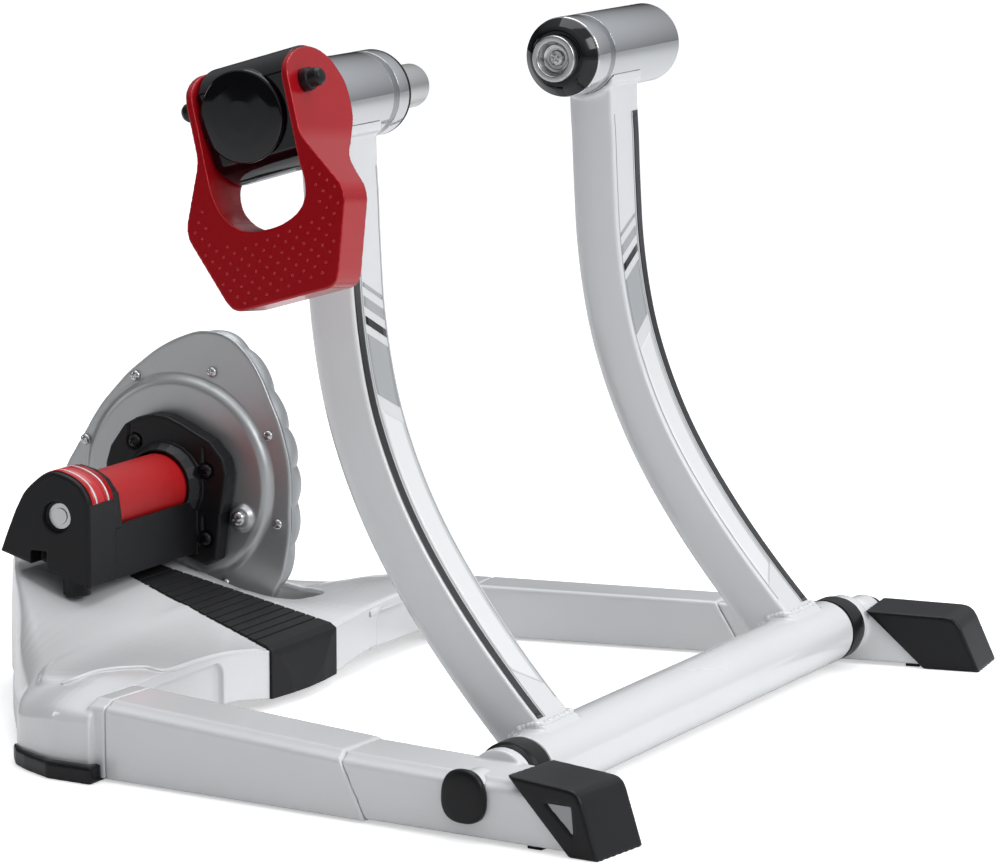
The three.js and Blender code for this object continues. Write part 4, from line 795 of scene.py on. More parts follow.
@dataclass
class Base:
    """Moulded base: body, legs, feet, rear shoes and tread strip."""

    bench: Bench
    front: float = -346.0
    length: float = 194.0
    half_width: float = 262.0
    deck: float = 84.0
    wall: float = 3.2
    seam: float = 341.0
    splay: float = math.radians(7.54)
    feet_half: float = 299.5
    back_shares: tuple[float, ...] = (0, 0.015, 0.134, 0.278, 0.34, 0.392, 0.588, 0.784, 0.893, 0.974)
    wide_shares: tuple[tuple[float, ...], ...] = (
        (0, 0.153, 0.37, 0.641, 0.809, 0.955, 0.98),
        (0, 0.152, 0.37, 0.644, 0.811, 0.955, 0.98),
        (0, 0.137, 0.37, 0.725, 0.84, 0.947, 0.972),
        (0, 0.126, 0.37, 0.77, 0.84, 0.893, 0.918),
        (0, 0.12, 0.366, 0.71, 0.79, 0.852, 0.874),
        (0, 0.115, 0.363, 0.62, 0.73, 0.785, 0.806),
        (0, 0.095, 0.344, 0.477, 0.546, 0.58, 0.595),
        (0, 0.084, 0.275, 0.336, 0.347, 0.351, 0.355),
        (0, 0.076, 0.172, 0.221, 0.233, 0.236, 0.237),
        (0, 0.046, 0.092, 0.122, 0.13, 0.133, 0.134),
    )
    near_shares: tuple[tuple[float, ...], ...] = (
        (0.44, 0.44, 0.532, 0.57, 0.55, 0.49, 0.41),
        (0.448, 0.448, 0.54, 0.575, 0.555, 0.49, 0.41),
        (0.535, 0.535, 0.577, 0.605, 0.58, 0.5, 0.405),
        (0.633, 0.633, 0.62, 0.59, 0.51, 0.43, 0.36),
        (0.68, 0.68, 0.65, 0.6, 0.52, 0.43, 0.355),
        (0.705, 0.705, 0.68, 0.62, 0.545, 0.43, 0.355),
        (0.84, 0.84, 0.786, 0.69, 0.56, 0.43, 0.33),
        (0.97, 0.97, 0.964, 0.93, 0.71, 0.48, 0.3),
        (1, 1, 1, 0.98, 0.71, 0.48, 0.3),
        (1, 1, 1, 0.98, 0.71, 0.48, 0.3),
    )
    far_shares: tuple[tuple[float, ...], ...] = (
        (0.44, 0.44, 0.489, 0.502, 0.429, 0.372, 0.312),
        (0.448, 0.448, 0.497, 0.506, 0.433, 0.372, 0.312),
        (0.535, 0.531, 0.503, 0.496, 0.434, 0.372, 0.308),
        (0.633, 0.623, 0.511, 0.448, 0.365, 0.313, 0.274),
        (0.68, 0.666, 0.52, 0.438, 0.364, 0.31, 0.27),
        (0.705, 0.691, 0.544, 0.453, 0.382, 0.31, 0.27),
        (0.84, 0.832, 0.7, 0.562, 0.42, 0.318, 0.251),
        (0.97, 0.97, 0.945, 0.837, 0.568, 0.365, 0.228),
        (1, 1, 0.98, 0.882, 0.568, 0.365, 0.228),
        (1, 1, 0.98, 0.882, 0.568, 0.365, 0.228),
    )
    sole_shares: tuple[tuple[float, ...], ...] = (
        (0.078, 0.078, 0.167, 0.1, 0.036, 0.036, 0.036),
        (0.078, 0.078, 0.167, 0.1, 0.036, 0.036, 0.036),
        (0.1, 0.1, 0.15, 0.1, 0.036, 0.036, 0.036),
        (0.12, 0.12, 0.12, 0.08, 0.04, 0.036, 0.036),
        (0.12, 0.12, 0.12, 0.08, 0.05, 0.04, 0.04),
        (0.12, 0.12, 0.12, 0.1, 0.08, 0.06, 0.06),
        (0.14, 0.14, 0.14, 0.14, 0.14, 0.14, 0.14),
        (0.17, 0.17, 0.17, 0.17, 0.17, 0.17, 0.17),
        (0.17, 0.17, 0.17, 0.17, 0.17, 0.17, 0.17),
        (0.17, 0.17, 0.17, 0.17, 0.17, 0.17, 0.17),
    )
    # Of the near and the far side: panels, leg roots, bolt covers and front feet
    panel_heights: tuple[float, float] = (41.0, 36.4)
    root_tops: tuple[float, float] = (47.9, 35.1)
    cover_heights: tuple[float, float] = (25.3, 20.5)
    foot_sizes: tuple[tuple[float, float], ...] = ((61.0, 41.0), (77.0, 35.6))
    # Panels on the arms, and the wall behind each
    panel_side: float = 141.5
    panel_width: float = 85.0
    panel_corner: float = 9.0
    backing_half: float = 45.7
    backing_foot: float = 11.0
    # How far the hollow starts behind the front and how much shorter it is, in wall thicknesses
    hollow_start: float = 1.3
    hollow_less: float = 3.3
    hollow_foot: float = -8.0
    # Bolt covers: how far back they lie, their half sizes, and their rings as shares and depths
    cover_back: float = 88.9
    cover_half: tuple[float, float] = (14.3, 15.2)
    cover_rings: tuple[tuple[float, float], ...] = (
        (0.96, 2.2), (1.0, 1.6), (1.0, -0.6), (0.975, -1.5), (0.93, -2.1), (0.82, -2.5), (0.6, -2.8),
        (0.3, -2.95), (0.05, -3.0),
    )
    # Corners of the window as shares of the foot's length and height
    window_shares: tuple[tuple[float, float], ...] = ((0.58, 0.695), (0.31, 0.695), (0.283, 0.30))
    # Rows of faces between two stations or columns of the tables
    fine: int = 5
    bead_half: float = 1.5
    bead_drop: float = 8.0
    bead_line: tuple[tuple[float, float, float], ...] = (
        (-404, -226, 30), (-392, -221, 40), (-380, -214, 50), (-375, -195, 52), (-360, -171, 50),
        (-348, -167, 48), (-348, -130, 46), (-348, -97, 45), (-348.5, -66, 41), (-348.5, -46, 38),
    )

    def build(self) -> None:
        """Makes the body, and dresses every other piece of the base."""
        body = self.shell()
        self.bench.fit(body, WHITE_MOULD, "base_body")
        self.bead(body)
        self.bench.dress("tread_strip", TREAD, Refine.RIBBED)
        for name, side in SIDES.items():
            self.bench.dress(name + "_leg_front", WHITE_MOULD, Refine.SOFT)
            self.bench.dress(name + "_leg_sleeve", WHITE_MOULD, Refine.SOFT)
            self.bench.dress(name + "_front_foot", FOOT, Refine.SOFT)
            self.bench.dress(name + "_under_pad", FOOT)
            self.bench.dress(name + "_rear_foot", FOOT, Refine.ROUND)
            self.bolt(side, name)
        for (name, side), centre, foot in zip(SIDES.items(), self.cover_heights, self.foot_sizes):
            self.cover(side, name, centre)
            self.window(side, name, foot)

    def bolt(self, side: int, name: str) -> None:
        """The pivot bolt inside a leg, and the bulge of the leg over its head.

        Args:
            side: -1 for the near one and 1 for the far one.
            name: near or far.
        """
        line = [(0, 190), (8, 190), (8, 276.5), (7.6, 277), (7.6, 281.8), (4, 281.8), (4, 279), (0, 279)]
        made = self.bench.turned(name + "_bolt", mirrored(line, side), CROSS, 0.5, 48)
        self.bench.fit(made, STEEL, name + "_pivot_bolt")
        line = [(0, 262), (10.5, 262), (12.6, 266), (12.9, 270), (12.9, 281), (12.2, 284.2), (8.1, 285),
                (0, 285)]
        bulge = self.bench.turned(name + "_bolt_bulge", mirrored(line, side), CROSS, 2.0, 72)
        self.bench.fit(bulge, WHITE_MOULD, name + "_leg_front", keep=True)

    def cover(self, side: int, name: str, centre: float) -> None:
        """The domed egg-shaped cover over a pivot bolt.

        Args:
            side: -1 for the near one and 1 for the far one.
            name: near or far.
            centre: height of its middle in mm.
        """
        half_x, half_z = self.cover_half
        power, steps = 2.5, 72
        rings = []
        for share, inward in self.cover_rings:
            ring = []
            for k in range(steps):
                a = 2 * math.pi * k / steps
                c, s = math.cos(a), math.sin(a)
                reach = (abs(c) ** power + abs(s) ** power) ** (-1 / power)
                narrow = 1 - 0.06 * s
                ring.append(self.leg_point(side, self.cover_back + half_x * share * reach * c * narrow, inward,
                                           centre + half_z * share * reach * s))
            rings.append(ring)
        dome = grid(name + "_dome", rings, closed=True, caps=True, sharp=50)
        self.bench.fit(dome, FOOT, name + "_bolt_cover")

    def window(self, side: int, name: str, foot: tuple[float, float]) -> None:
        """The pale leg plastic that shows in the foot's three-cornered window.

        Args:
            side: -1 for the near one and 1 for the far one.
            name: near or far.
            foot: length and height that the window's corners are shares of.
        """
        outer, inner = 0.9, 1.4
        front = [self.leg_point(side, a * foot[0], outer, b * foot[1]) for a, b in self.window_shares]
        reach = self.leg_point(side, 0, inner, 0) - self.leg_point(side, 0, outer, 0)
        made = block(name + "_foot_window", front, reach)
        self.bench.fit(made, WINDOW, name + "_front_foot", keep=True)

    def patch(self, table: Sequence[Sequence[float]], s: float, c: float) -> float:
        """A smooth value from a table of stations and columns."""
        return catmull([catmull(row, c) for row in table], s)

    def solid(self, name: str, shrink: float) -> Piece:
        """The body's closed block, or the smaller one that hollows it from below.

        Args:
            name: name of the piece.
            shrink: how much smaller it is, in mm.

        Returns:
            The block.
        """
        rings = []
        stations = [i / self.fine for i in range((len(self.back_shares) - 1) * self.fine + 1)]
        columns = [i / self.fine for i in range(6 * self.fine + 1)]
        for s in stations:
            along = self.back_shares[1] * s if s < 1 else catmull(self.back_shares, s)
            x = self.front - self.length * along
            if shrink:
                less = 1 - self.hollow_less * shrink / self.length
                x = self.front - self.hollow_start * shrink + (x - self.front) * less
            wide = [self.patch(self.wide_shares, s, c) * self.half_width for c in columns]
            wide = [y * (1 - shrink / wide[-1]) for y in wide]
            low = [self.hollow_foot if shrink else self.patch(self.sole_shares, s, c) * self.deck
                   for c in columns]
            tops = {}
            for side, table in ((-1, self.near_shares), (1, self.far_shares)):
                tops[side] = [self.patch(table, s, c) * self.deck - shrink for c in columns]
            sole = list(zip(wide, low))
            ring = [*zip(wide, tops[1]), *reversed(sole), *((-y, z) for y, z in sole[1:])]
            ring += [(-y, z) for y, z in reversed(list(zip(wide, tops[-1]))[1:])]
            rings.append([self.bench.place(x, y, z) for y, z in ring])
        return grid(name, rings, closed=True, caps=True)

    def leg_point(self, side: int, back: float, inward: float, height: float) -> Vector:
        """A point of a leg, counted back along it, in from its outer plane and up."""
        c, s = math.cos(self.splay), math.sin(self.splay)
        return self.bench.place(-back * c + inward * s, side * (self.feet_half - back * s - inward * c), height)

    def root(self, side: int) -> Piece:
        """The stub of a leg that grows out of the body up to the rear seam.

        Args:
            side: -1 for the near one and 1 for the far one.

        Returns:
            The stub.
        """
        top = self.root_tops[0 if side < 0 else 1]
        section = [(1.4, 1.6), (45.9, 1.6), (45.9, top - 1.6), (44.3, top), (10.3, top - 0.8),
                   (6.4, top - 3.2), (2.7, top - 4.5), (1.4, top - 6.4)]
        rings = [[self.leg_point(side, back, w, z) for w, z in section] for back in (self.seam, self.seam + 12)]
        return grid("leg_root", rings, closed=True, caps=True)

    def shell(self) -> Piece:
        """The body with its recesses, well, leg roots and seat for the tread.

        Returns:
            The body as one smooth shell.
        """
        place = self.bench.place
        body = combined(self.solid("base_shell", 0.0), self.solid("hollow", self.wall), Cut.DIFFERENCE)
        for side, high in zip(SIDES.values(), self.panel_heights):
            middle, half = side * self.panel_side, self.backing_half
            outline = rounded(self.panel_width, 2 * high, self.panel_corner, (middle, 0))
            cutter = block("recess", [place(self.front + 6, y, z) for y, z in outline],
                           Vector((-10.2 * MM, 0, 0)))
            body = combined(body, cutter, Cut.DIFFERENCE)
            low, top = self.backing_foot, high + 1.6
            back = [(middle - half, low), (middle + half, low), (middle + half, top), (middle - half, top)]
            wall = block("recess_back", [place(self.front - 4.2, y, z) for y, z in back],
                         Vector((-3.2 * MM, 0, 0)))
            body = combined(body, wall, Cut.UNION)
            body = combined(body, self.root(side), Cut.UNION)
        well = [place(x, y, -9) for x, y in rounded(388, 78, 26, (-585, 90))]
        body = combined(body, block("well", well, Vector((0, 0, 0.12))), Cut.DIFFERENCE)
        body = combined(body, self.bench.copy("tread_strip"), Cut.DIFFERENCE)
        return molten(body, 0.9, 4)

    def bead(self, body: Piece) -> None:
        """The raised bead that runs along the shoulder of the body on both sides.

        Args:
            body: the finished shell that the bead lies on.
        """
        for name, side in SIDES.items():
            drop = self.bead_drop if side > 0 else 0
            rows = []
            for x, y, z in curve(self.bead_line, 8):
                _, at, normal, _ = body.closest_point_on_mesh(self.bench.place(x, -side * y, z - drop))
                rows.append((at, normal))
            steps = len(rows) - 1
            rings = []
            for i, (at, normal) in enumerate(rows):
                along = (rows[min(i + 1, steps)][0] - rows[max(i - 1, 0)][0]).normalized()
                across = along.cross(normal).normalized()
                up = across.cross(along)
                size = self.bead_half * MM * min(1.0, 0.25 + i / 6, 0.25 + (steps - i) / 6)
                rings.append([at + (across * math.cos(a) * 1.5 + up * math.sin(a)) * size
                              for a in (2 * math.pi * k / 12 for k in range(12))])
            made = grid(name + "_base_bead", rings, closed=True, caps=True, sharp=60)
            self.bench.fit(made, WHITE_MOULD, "base_body", keep=True)


@dataclass(frozen=True)
class Stripe:
    """One band of a decal: its edges across the face and its ends along it, from bottom to top."""

    finish: Finish
    left: float
    right: float
    low: float
    high: float
    slant: float = 0.0


@dataclass
class FoldingFrame:
    """Cross tube and two curved uprights with their weld beads and stripes."""

    bench: Bench
    width: float = 40.0
    depth: float = 34.0
    top: float = 372.0
    line_back: float = 209.0
    span_half: float = 176.0
    tube_half: float = 217.0
    tube_radius: float = 20.0
    # Radii up to which the ends of an upright are thickened, and the radius of the clamp tube's seat
    cross_ring: float = 22.2
    axle_ring: float = 28.2
    seat_radius: float = 25.2
    # How far out helpers reach that join or cut both uprights
    beyond: float = 300.0
    # Weld drops: how far from the tube's axis they lie, and their size
    weld_reach: float = 21.5
    weld_radius: float = 2.5
    height_shares: tuple[float, ...] = (
        0.0915, 0.108, 0.161, 0.215, 0.269, 0.323, 0.376, 0.43, 0.484, 0.538, 0.591, 0.645, 0.699, 0.753,
        0.806, 0.86, 0.914, 0.968, 1.022,
    )
    back_shares: tuple[float, ...] = (
        0.357, 0.382, 0.469, 0.552, 0.629, 0.699, 0.761, 0.816, 0.862, 0.9, 0.93, 0.952, 0.968, 0.979,
        0.985, 0.99, 0.994, 1.0, 1.002,
    )
    wide_shares: tuple[float, ...] = (0.9, 0.985, 1.0, 1.02, 1.015, 0.94, 0.72, 0.38, 0.0)
    deep_shares: tuple[float, ...] = (0.0, 0.03, 0.1, 0.33, 0.55, 0.76, 0.92, 0.985, 1.0)
    rows: int = 110
    stripes: tuple[Stripe, ...] = (
        Stripe(DECAL_BLACK, 10.2, 17.6, 0.085, 0.93),
        Stripe(DECAL_GREY, 8.0, 9.0, 0.085, 0.93),
        Stripe(DECAL_WHITE, -15.4, 7.0, 0.12, 0.52, 0.03),
        Stripe(DECAL_GREY, -16.6, -15.9, 0.10, 0.93),
        Stripe(DECAL_GREY, -15.4, 7.0, 0.545, 0.64, 0.03),
        Stripe(DECAL_BLACK, -15.4, 7.0, 0.655, 0.668, 0.03),
        Stripe(DECAL_GREY, -15.4, 7.0, 0.683, 0.70, 0.03),
        Stripe(DECAL_GREY, -15.4, 7.0, 0.715, 0.722, 0.03),
    )

    def build(self) -> None:
        """Makes the frame, its beads, stripes and bushes."""
        whole = combined(self.upright(-1), self.upright(1), Cut.UNION)
        tube = self.bench.rod("cross_tube", self.tube_radius, (-self.tube_half, self.tube_half), CROSS, 0.6)
        whole = combined(whole, tube, Cut.UNION)
        whole = molten(whole, 0.8, 4)
        whole.name = "frame_tubes"
        self.bench.fit(whole, WHITE_PAINT, "folding_frame")
        for name, side in SIDES.items():
            self.weld(side, name)
            for i, stripe in enumerate(self.stripes):
                self.decal(side, f"{name}_stripe_{i + 1}", stripe)
            self.bush(side, name)

    def line(self, t: float) -> tuple[Vector, Vector]:
        """Point of the front line and the direction into the section.

        Args:
            t: place along the line, from 0 at the bottom to 1 at the top.

        Returns:
            The point with y at nought in mm, and the direction.
        """
        last = len(self.height_shares) - 1

        def at(s: float) -> Vector:
            """The point at a share of the line."""
            return Vector((-self.line_back * catmull(self.back_shares, s * last), 0,
                           self.top * catmull(self.height_shares, s * last)))

        step = 0.005
        along = (at(min(t + step, 1)) - at(max(t - step, 0))).normalized()
        return at(t), Vector((-along.z, 0, along.x))

    def spot(self, side: int, t: float, q: float, p: float) -> Vector:
        """A place on an upright.

        Args:
            side: -1 for the near one and 1 for the far one.
            t: place along it, from 0 at the bottom to 1 at the top.
            q: place across it in mm.
            p: depth into it in mm.

        Returns:
            The place.
        """
        point, into = self.line(t)
        at = point + into * p
        return self.bench.place(at.x, side * self.span_half + q, at.z)

    def half(self, fine: int, grow: float) -> list[tuple[float, float]]:
        """Half of an upright's section, from its front edge to the middle of its back.

        Args:
            fine: how many points lie between two shares.
            grow: how far the section is grown, in mm.

        Returns:
            The points, across the upright and into it.
        """
        shares = curve(list(zip(self.wide_shares, self.deep_shares)), fine)
        last = len(shares) - 1
        return [(wide * self.width / 2 + (grow if k < last else 0), deep * (self.depth + 2 * grow) - grow)
                for k, (wide, deep) in enumerate(shares)]

    def sweep(self, side: int, grow: float) -> Piece:
        """The swept section of one upright.

        Args:
            side: -1 for the near one and 1 for the far one.
            grow: how far it is grown on all sides, in mm.

        Returns:
            The closed sweep.
        """
        half = self.half(4, grow)
        section = half + [(-q, p) for q, p in reversed(half[:-1])]
        rings = [[self.spot(side, i / self.rows, q, p) for q, p in section] for i in range(self.rows + 1)]
        return grid("upright", rings, closed=True, caps=True, sharp=50)

    def upright(self, side: int) -> Piece:
        """One upright with its thickened ends and the seat for the clamp tube.

        Args:
            side: -1 for the near one and 1 for the far one.

        Returns:
            The upright.
        """
        made = self.sweep(side, 0.0)
        ends = (-self.beyond, self.beyond)
        for axis, radius in ((CROSS, self.cross_ring), (AXLE, self.axle_ring)):
            ring = self.bench.rod("ring", radius, ends, axis)
            made = combined(made, combined(self.sweep(side, 2.3), ring, Cut.INTERSECT), Cut.UNION)
        seat = self.bench.rod("seat", self.seat_radius, ends)
        return combined(made, seat, Cut.DIFFERENCE)

    def away(self, t: float, p: float) -> float:
        """How far a place along an upright and into it lies from the cross tube's axis, in mm."""
        point, into = self.line(t)
        return (point + into * p - Vector((CROSS[0], 0, CROSS[1]))).length

    def weld(self, side: int, name: str) -> None:
        """The row of weld drops where an upright meets the cross tube.

        Args:
            side: -1 for the near one and 1 for the far one.
            name: the side's word in piece names.
        """
        half = self.half(3, 0.0)
        front = (-16, -13.3, -10.6, -8, -5.3, -2.6, 0, 2.6, 5.3, 8, 10.6, 13.3, 16)
        section = [(q, 0) for q in front] + half + [(-q, p) for q, p in reversed(half)]
        tries = [k / 800 for k in range(200)]
        drops = []
        for i, (q, p) in enumerate(section):
            t = next((t for t in tries if self.away(t, p) > self.weld_reach), 0.0)
            radius = (self.weld_radius + 0.35 * math.sin(i * 2.4)) * MM
            radii = Vector((radius, radius * 1.1, radius * 0.9))
            drops.append(ball("drop", self.spot(side, t, q, p), radii, 8))
        bead = joined(name + "_weld_bead", drops)
        self.bench.fit(molten(bead, 0.4, 3), WHITE_PAINT, "folding_frame", keep=True)

    def decal(self, side: int, name: str, stripe: Stripe) -> None:
        """A thin band laid on the flat front face of an upright.

        Args:
            side: -1 for the near one and 1 for the far one.
            name: name of the piece.
            stripe: where the band lies and its finish.
        """
        along, across = 80, 6
        rows = []
        for i in range(along + 1):
            row = []
            for k in range(across + 1):
                u = k / across
                q = stripe.left + (stripe.right - stripe.left) * u
                t = stripe.low + (stripe.high - stripe.low) * i / along + stripe.slant * u
                row.append(self.spot(side, t, side * q, -0.14))
            rows.append(row)
        self.bench.fit(sheet(name, rows, 0.1), stripe.finish, "folding_frame", keep=True)

    def bush(self, side: int, name: str) -> None:
        """The flanged bush at one end of the cross tube.

        Args:
            side: -1 for the near one and 1 for the far one.
            name: near or far.
        """
        profile = [(8.2, 193.3), (17.8, 193.3), (17.8, 217.3), (18.5, 217.3), (18.5, 218.9), (20.1, 218.9),
                   (20.1, 233.8), (18.6, 235.4), (18.6, 239.4), (8.2, 239.4), (8.2, 193.3)]
        made = self.bench.turned(name + "_bush", mirrored(profile, side), CROSS, 0.6)
        self.bench.fit(made, FOOT, name + "_pivot_bush")


@dataclass
class Clamps:
    """Chromed axle clamps with their bands, rings, plunger and cup."""

    bench: Bench
    # Of the near and the far tube: where it begins and ends, and how far in its band starts
    inner: tuple[float, float] = (125.7, 128.4)
    outer: tuple[float, float] = (231.0, 246.8)
    band_in: tuple[float, float] = (12.5, 17.0)
    # Width of the groove for the band, and radii of the tube, its bore and the groove
    band_wide: float = 7.0
    radius: float = 25.05
    bore: float = 13.2
    groove: float = 23.65
    plunger_radius: float = 12.9

    def build(self) -> None:
        """Makes every turned piece of both clamps."""
        for (name, side), inner, outer, band in zip(SIDES.items(), self.inner, self.outer, self.band_in):
            self.tube(name, side, inner, outer, inner + band)
        ring = rounds(self.bore, self.radius, -124, -125.4)
        self.bench.fit(self.bench.turned("near_ring", ring, soft=0.35), PIN_BLACK, "near_end_ring")
        cap = [(0, 236.8), (22.3, 236.8), (22.3, 247.1), (24.4, 247.1), (24.4, 248.6), (23, 250), (0, 250)]
        self.bench.fit(self.bench.turned("end_cap", cap, soft=0.9), GLOSS_BLACK, "far_end_cap")
        lock = [(14.65, 120.1), (17.4, 120.1), (19.5, 121.5), (24.6, 126.7), (24.6, 128.1), (14.65, 128.1),
                (14.65, 120.1)]
        self.bench.fit(self.bench.turned("lock_ring", lock, soft=0.6), GLOSS_BLACK, "far_lock_ring")
        self.cup()
        self.plunger()

    def tube(self, name: str, side: int, inner: float, outer: float, band: float) -> None:
        """One clamp tube and the band in its groove.

        Args:
            name: near or far.
            side: -1 for the near one and 1 for the far one.
            inner: where its inner end lies.
            outer: where its outer end lies.
            band: where the band starts.
        """
        radius, bore, groove, end = self.radius, self.bore, self.groove, band + self.band_wide
        profile = [(bore, inner), (24.3, inner), (radius, inner + 0.7), (radius, band), (groove, band),
                   (groove, end), (radius, end), (radius, outer), (22.45, outer), (22.45, inner + 32.6),
                   (bore, inner + 30), (bore, inner)]
        made = self.bench.turned(name + "_tube", mirrored(profile, side), soft=0.3, steps=160)
        self.bench.fit(made, CHROME, name + "_clamp_tube")
        strip = rounds(23.8, 24.88, band + 0.15, band + 6.85)
        made = self.bench.turned(name + "_band", mirrored(strip, side), soft=0.25, steps=160)
        self.bench.fit(made, BAND, name + "_clamp_band")

    def cup(self) -> None:
        """The bowl that takes the far end of the wheel's axle, and its centre screw."""
        low, high = self.bench.box("far_hub_cup")
        face, tail = low.y / MM, high.y / MM
        profile = [(0, face + 6), (7, face + 6), (8.6, face + 5.2), (11, face), (13.9, face),
                   (14.5, face + 0.6), (14.5, face + 14), (8, face + 14), (8, 128.7), (12.9, 128.7),
                   (12.9, 140.7), (8, 140.7), (8, tail), (0, tail)]
        self.bench.fit(self.bench.turned("hub_cup", profile, soft=0.45), STEEL, "far_hub_cup")
        self.bench.dress("far_cup_screw", STEEL, Refine.TINY)

    def plunger(self) -> None:
        """The thrust plunger with its cross notch."""
        low, high = self.bench.box("thrust_plunger")
        tip, tail = high.y / MM, low.y / MM
        wide, neck = self.plunger_radius, self.plunger_radius - 1
        profile = [(0, tip - 6), (6.5, tip), (9.5, tip), (wide, tip - 3.4), (wide, tip - 30), (neck, tip - 30),
                   (neck, tip - 33), (wide, tip - 33), (wide, tip - 54), (8, tip - 54), (8, tail + 3.4),
                   (neck, tail + 3.4), (neck, tail), (0, tail)]
        made = self.bench.turned("plunger", profile, soft=0.4)
        for half_x, half_z in ((2.0, 20.0), (20.0, 2.0)):
            corners = [self.bench.place(AXLE[0] + a * half_x, tip - 3.4, AXLE[1] + b * half_z)
                       for a, b in CORNERS]
            made = combined(made, block("notch", corners, Vector((0, 0.01, 0))), Cut.DIFFERENCE)
        shaded(made.data)
        self.bench.fit(made, ALLOY, "thrust_plunger")


@dataclass
class Lever:
    """Cam housing, its disc, and the red lever with its pin and cam."""

    bench: Bench
    tilt: float = math.radians(16.4)
    hang: float = math.radians(6.0)
    pin_out: float = 265.3
    face_out: float = 276.0
    # Half width, top and foot of the ears
    ear_half: float = 33.5
    ear_top: float = 29.2
    ear_foot: float = -30.4
    # What the shares of the handle's and the window's outlines are multiplied by
    handle_size: tuple[float, float] = (49.3, -116.8)
    window_size: tuple[float, float] = (29.4, -76.5)
    # How far out the lever's face lies from its pin, and sizes of the cam box and its barrel
    outer_face: float = -17.0
    box_radius: float = 33.5
    box_half: float = 28.8
    barrel_radius: float = 25.6
    handle_shares: tuple[tuple[float, float], ...] = (
        (1.05, 0.53), (1.07, 0.56), (1.07, 0.61), (0.8, 0.94), (0.75, 0.98), (0.66, 1), (-0.54, 1),
        (-0.63, 0.98), (-0.69, 0.94), (-1, 0.61), (-1, 0.56), (-0.98, 0.53),
    )
    window_shares: tuple[tuple[float, float], ...] = (
        (-1, 0.3), (-1, 0.58), (-0.95, 0.72), (-0.84, 0.83), (-0.62, 0.93), (-0.3, 0.985), (0.1, 1),
        (0.45, 0.985), (0.78, 0.93), (0.97, 0.84), (1.03, 0.72), (1, 0.58), (1, 0.3),
    )
    side_line: tuple[tuple[float, float], ...] = (
        (-17, -125), (-17, -30), (-17, -14), (-17, -6), (-17, 1), (-15.4, 7.5), (-10.5, 12.8), (-2, 17.3),
        (9.7, 19.7), (21.9, 18.5), (33.6, 13.5), (41, 6.5), (46.1, -0.9), (47.6, -11.7), (46, -21.7),
        (41, -29.2), (34.5, -34.6), (26, -39.6), (18.5, -45), (13.3, -52), (9.9, -61), (9, -72), (9, -84),
        (9, -104), (9.2, -125),
    )

    def build(self) -> None:
        """Makes the housing, disc and pin ends, and dresses the lever."""
        self.u = Vector((math.cos(self.tilt), 0, math.sin(self.tilt)))
        self.up = Vector((-math.sin(self.tilt), 0, math.cos(self.tilt)))
        self.origin = Vector((AXLE[0], -self.pin_out, AXLE[1])) + self.up * 10.5 + self.u * 3
        self.across = Matrix((Vector((0, 1, 0)), self.u, self.up)).transposed()
        self.housing()
        face = -self.face_out - 0.3
        disc = [(0, face), (26.2, face), (26.2, face - 2.4), (25.2, face - 3.4), (18.3, face - 4.35),
                (8, face - 4.95), (0, face - 5)]
        self.bench.fit(self.bench.turned("domed_disc", disc, soft=1.6, steps=160), GLOSS_BLACK, "cap_disc")
        self.handle()
        self.dots()
        self.pins()
        self.bench.dress("thrust_cam", STEEL)

    def spot(self, x: float, inward: float, up: float) -> Vector:
        """A place in the lever's own frame, which hangs from the pin.

        Args:
            x: place along the pin in mm.
            inward: place towards the trainer's middle in mm.
            up: height above the pin in mm.

        Returns:
            The place.
        """
        c, s = math.cos(self.hang), math.sin(self.hang)
        y, z = inward * c + up * s, -inward * s + up * c
        at = self.origin + self.u * x + Vector((0, y, 0)) + self.up * z
        return self.bench.place(at.x, at.y, at.z)

    def bar(self, name: str, profile: Profile, centre: Vector, soft: float) -> Piece:
        """A turned piece about an axis along the pin."""
        line = [(r * MM, p * MM) for r, p in profile]
        return lathe(name, line, self.bench.place(*centre), soft * MM, 128, self.across)

    def housing(self) -> None:
        """The cross bar, cut flat outside, with its barrel round the clamp tube."""
        centre = self.origin + Vector((0, 15.3, 0)) - self.up * 13.3
        radius, half = self.box_radius, self.box_half
        made = self.bar("cam_box", [(0, -half), (radius, -half), (radius, half), (0, half)], centre, 1.6)
        barrel = self.bench.rod("barrel", self.barrel_radius, (-self.face_out - 0.2, -250), soft=0.3)
        made = combined(made, barrel, Cut.UNION)
        corners = [self.bench.place(AXLE[0] + a * 80, -self.face_out, AXLE[1] + b * 80) for a, b in CORNERS]
        made = combined(made, block("front", corners, Vector((0, -0.06, 0))), Cut.DIFFERENCE)
        for radius, outer in ((25.2, -231.3), (13.2, -262.0)):
            hole = self.bench.rod("hole", radius, (outer, -100))
            made = combined(made, hole, Cut.DIFFERENCE)
        self.bench.fit(molten(made, 0.45, 3), GLOSS_BLACK, "cam_housing")

    def outline(self) -> list[tuple[float, float]]:
        """The handle's outline from the foot of one ear to that of the other.

        Returns:
            The corners along the pin and up from it, in mm.
        """
        wide, low = self.handle_size
        corners = [(a * wide, b * low) for a, b in self.handle_shares]
        return [(self.ear_half, self.ear_foot), *corners, (-self.ear_half, self.ear_foot)]

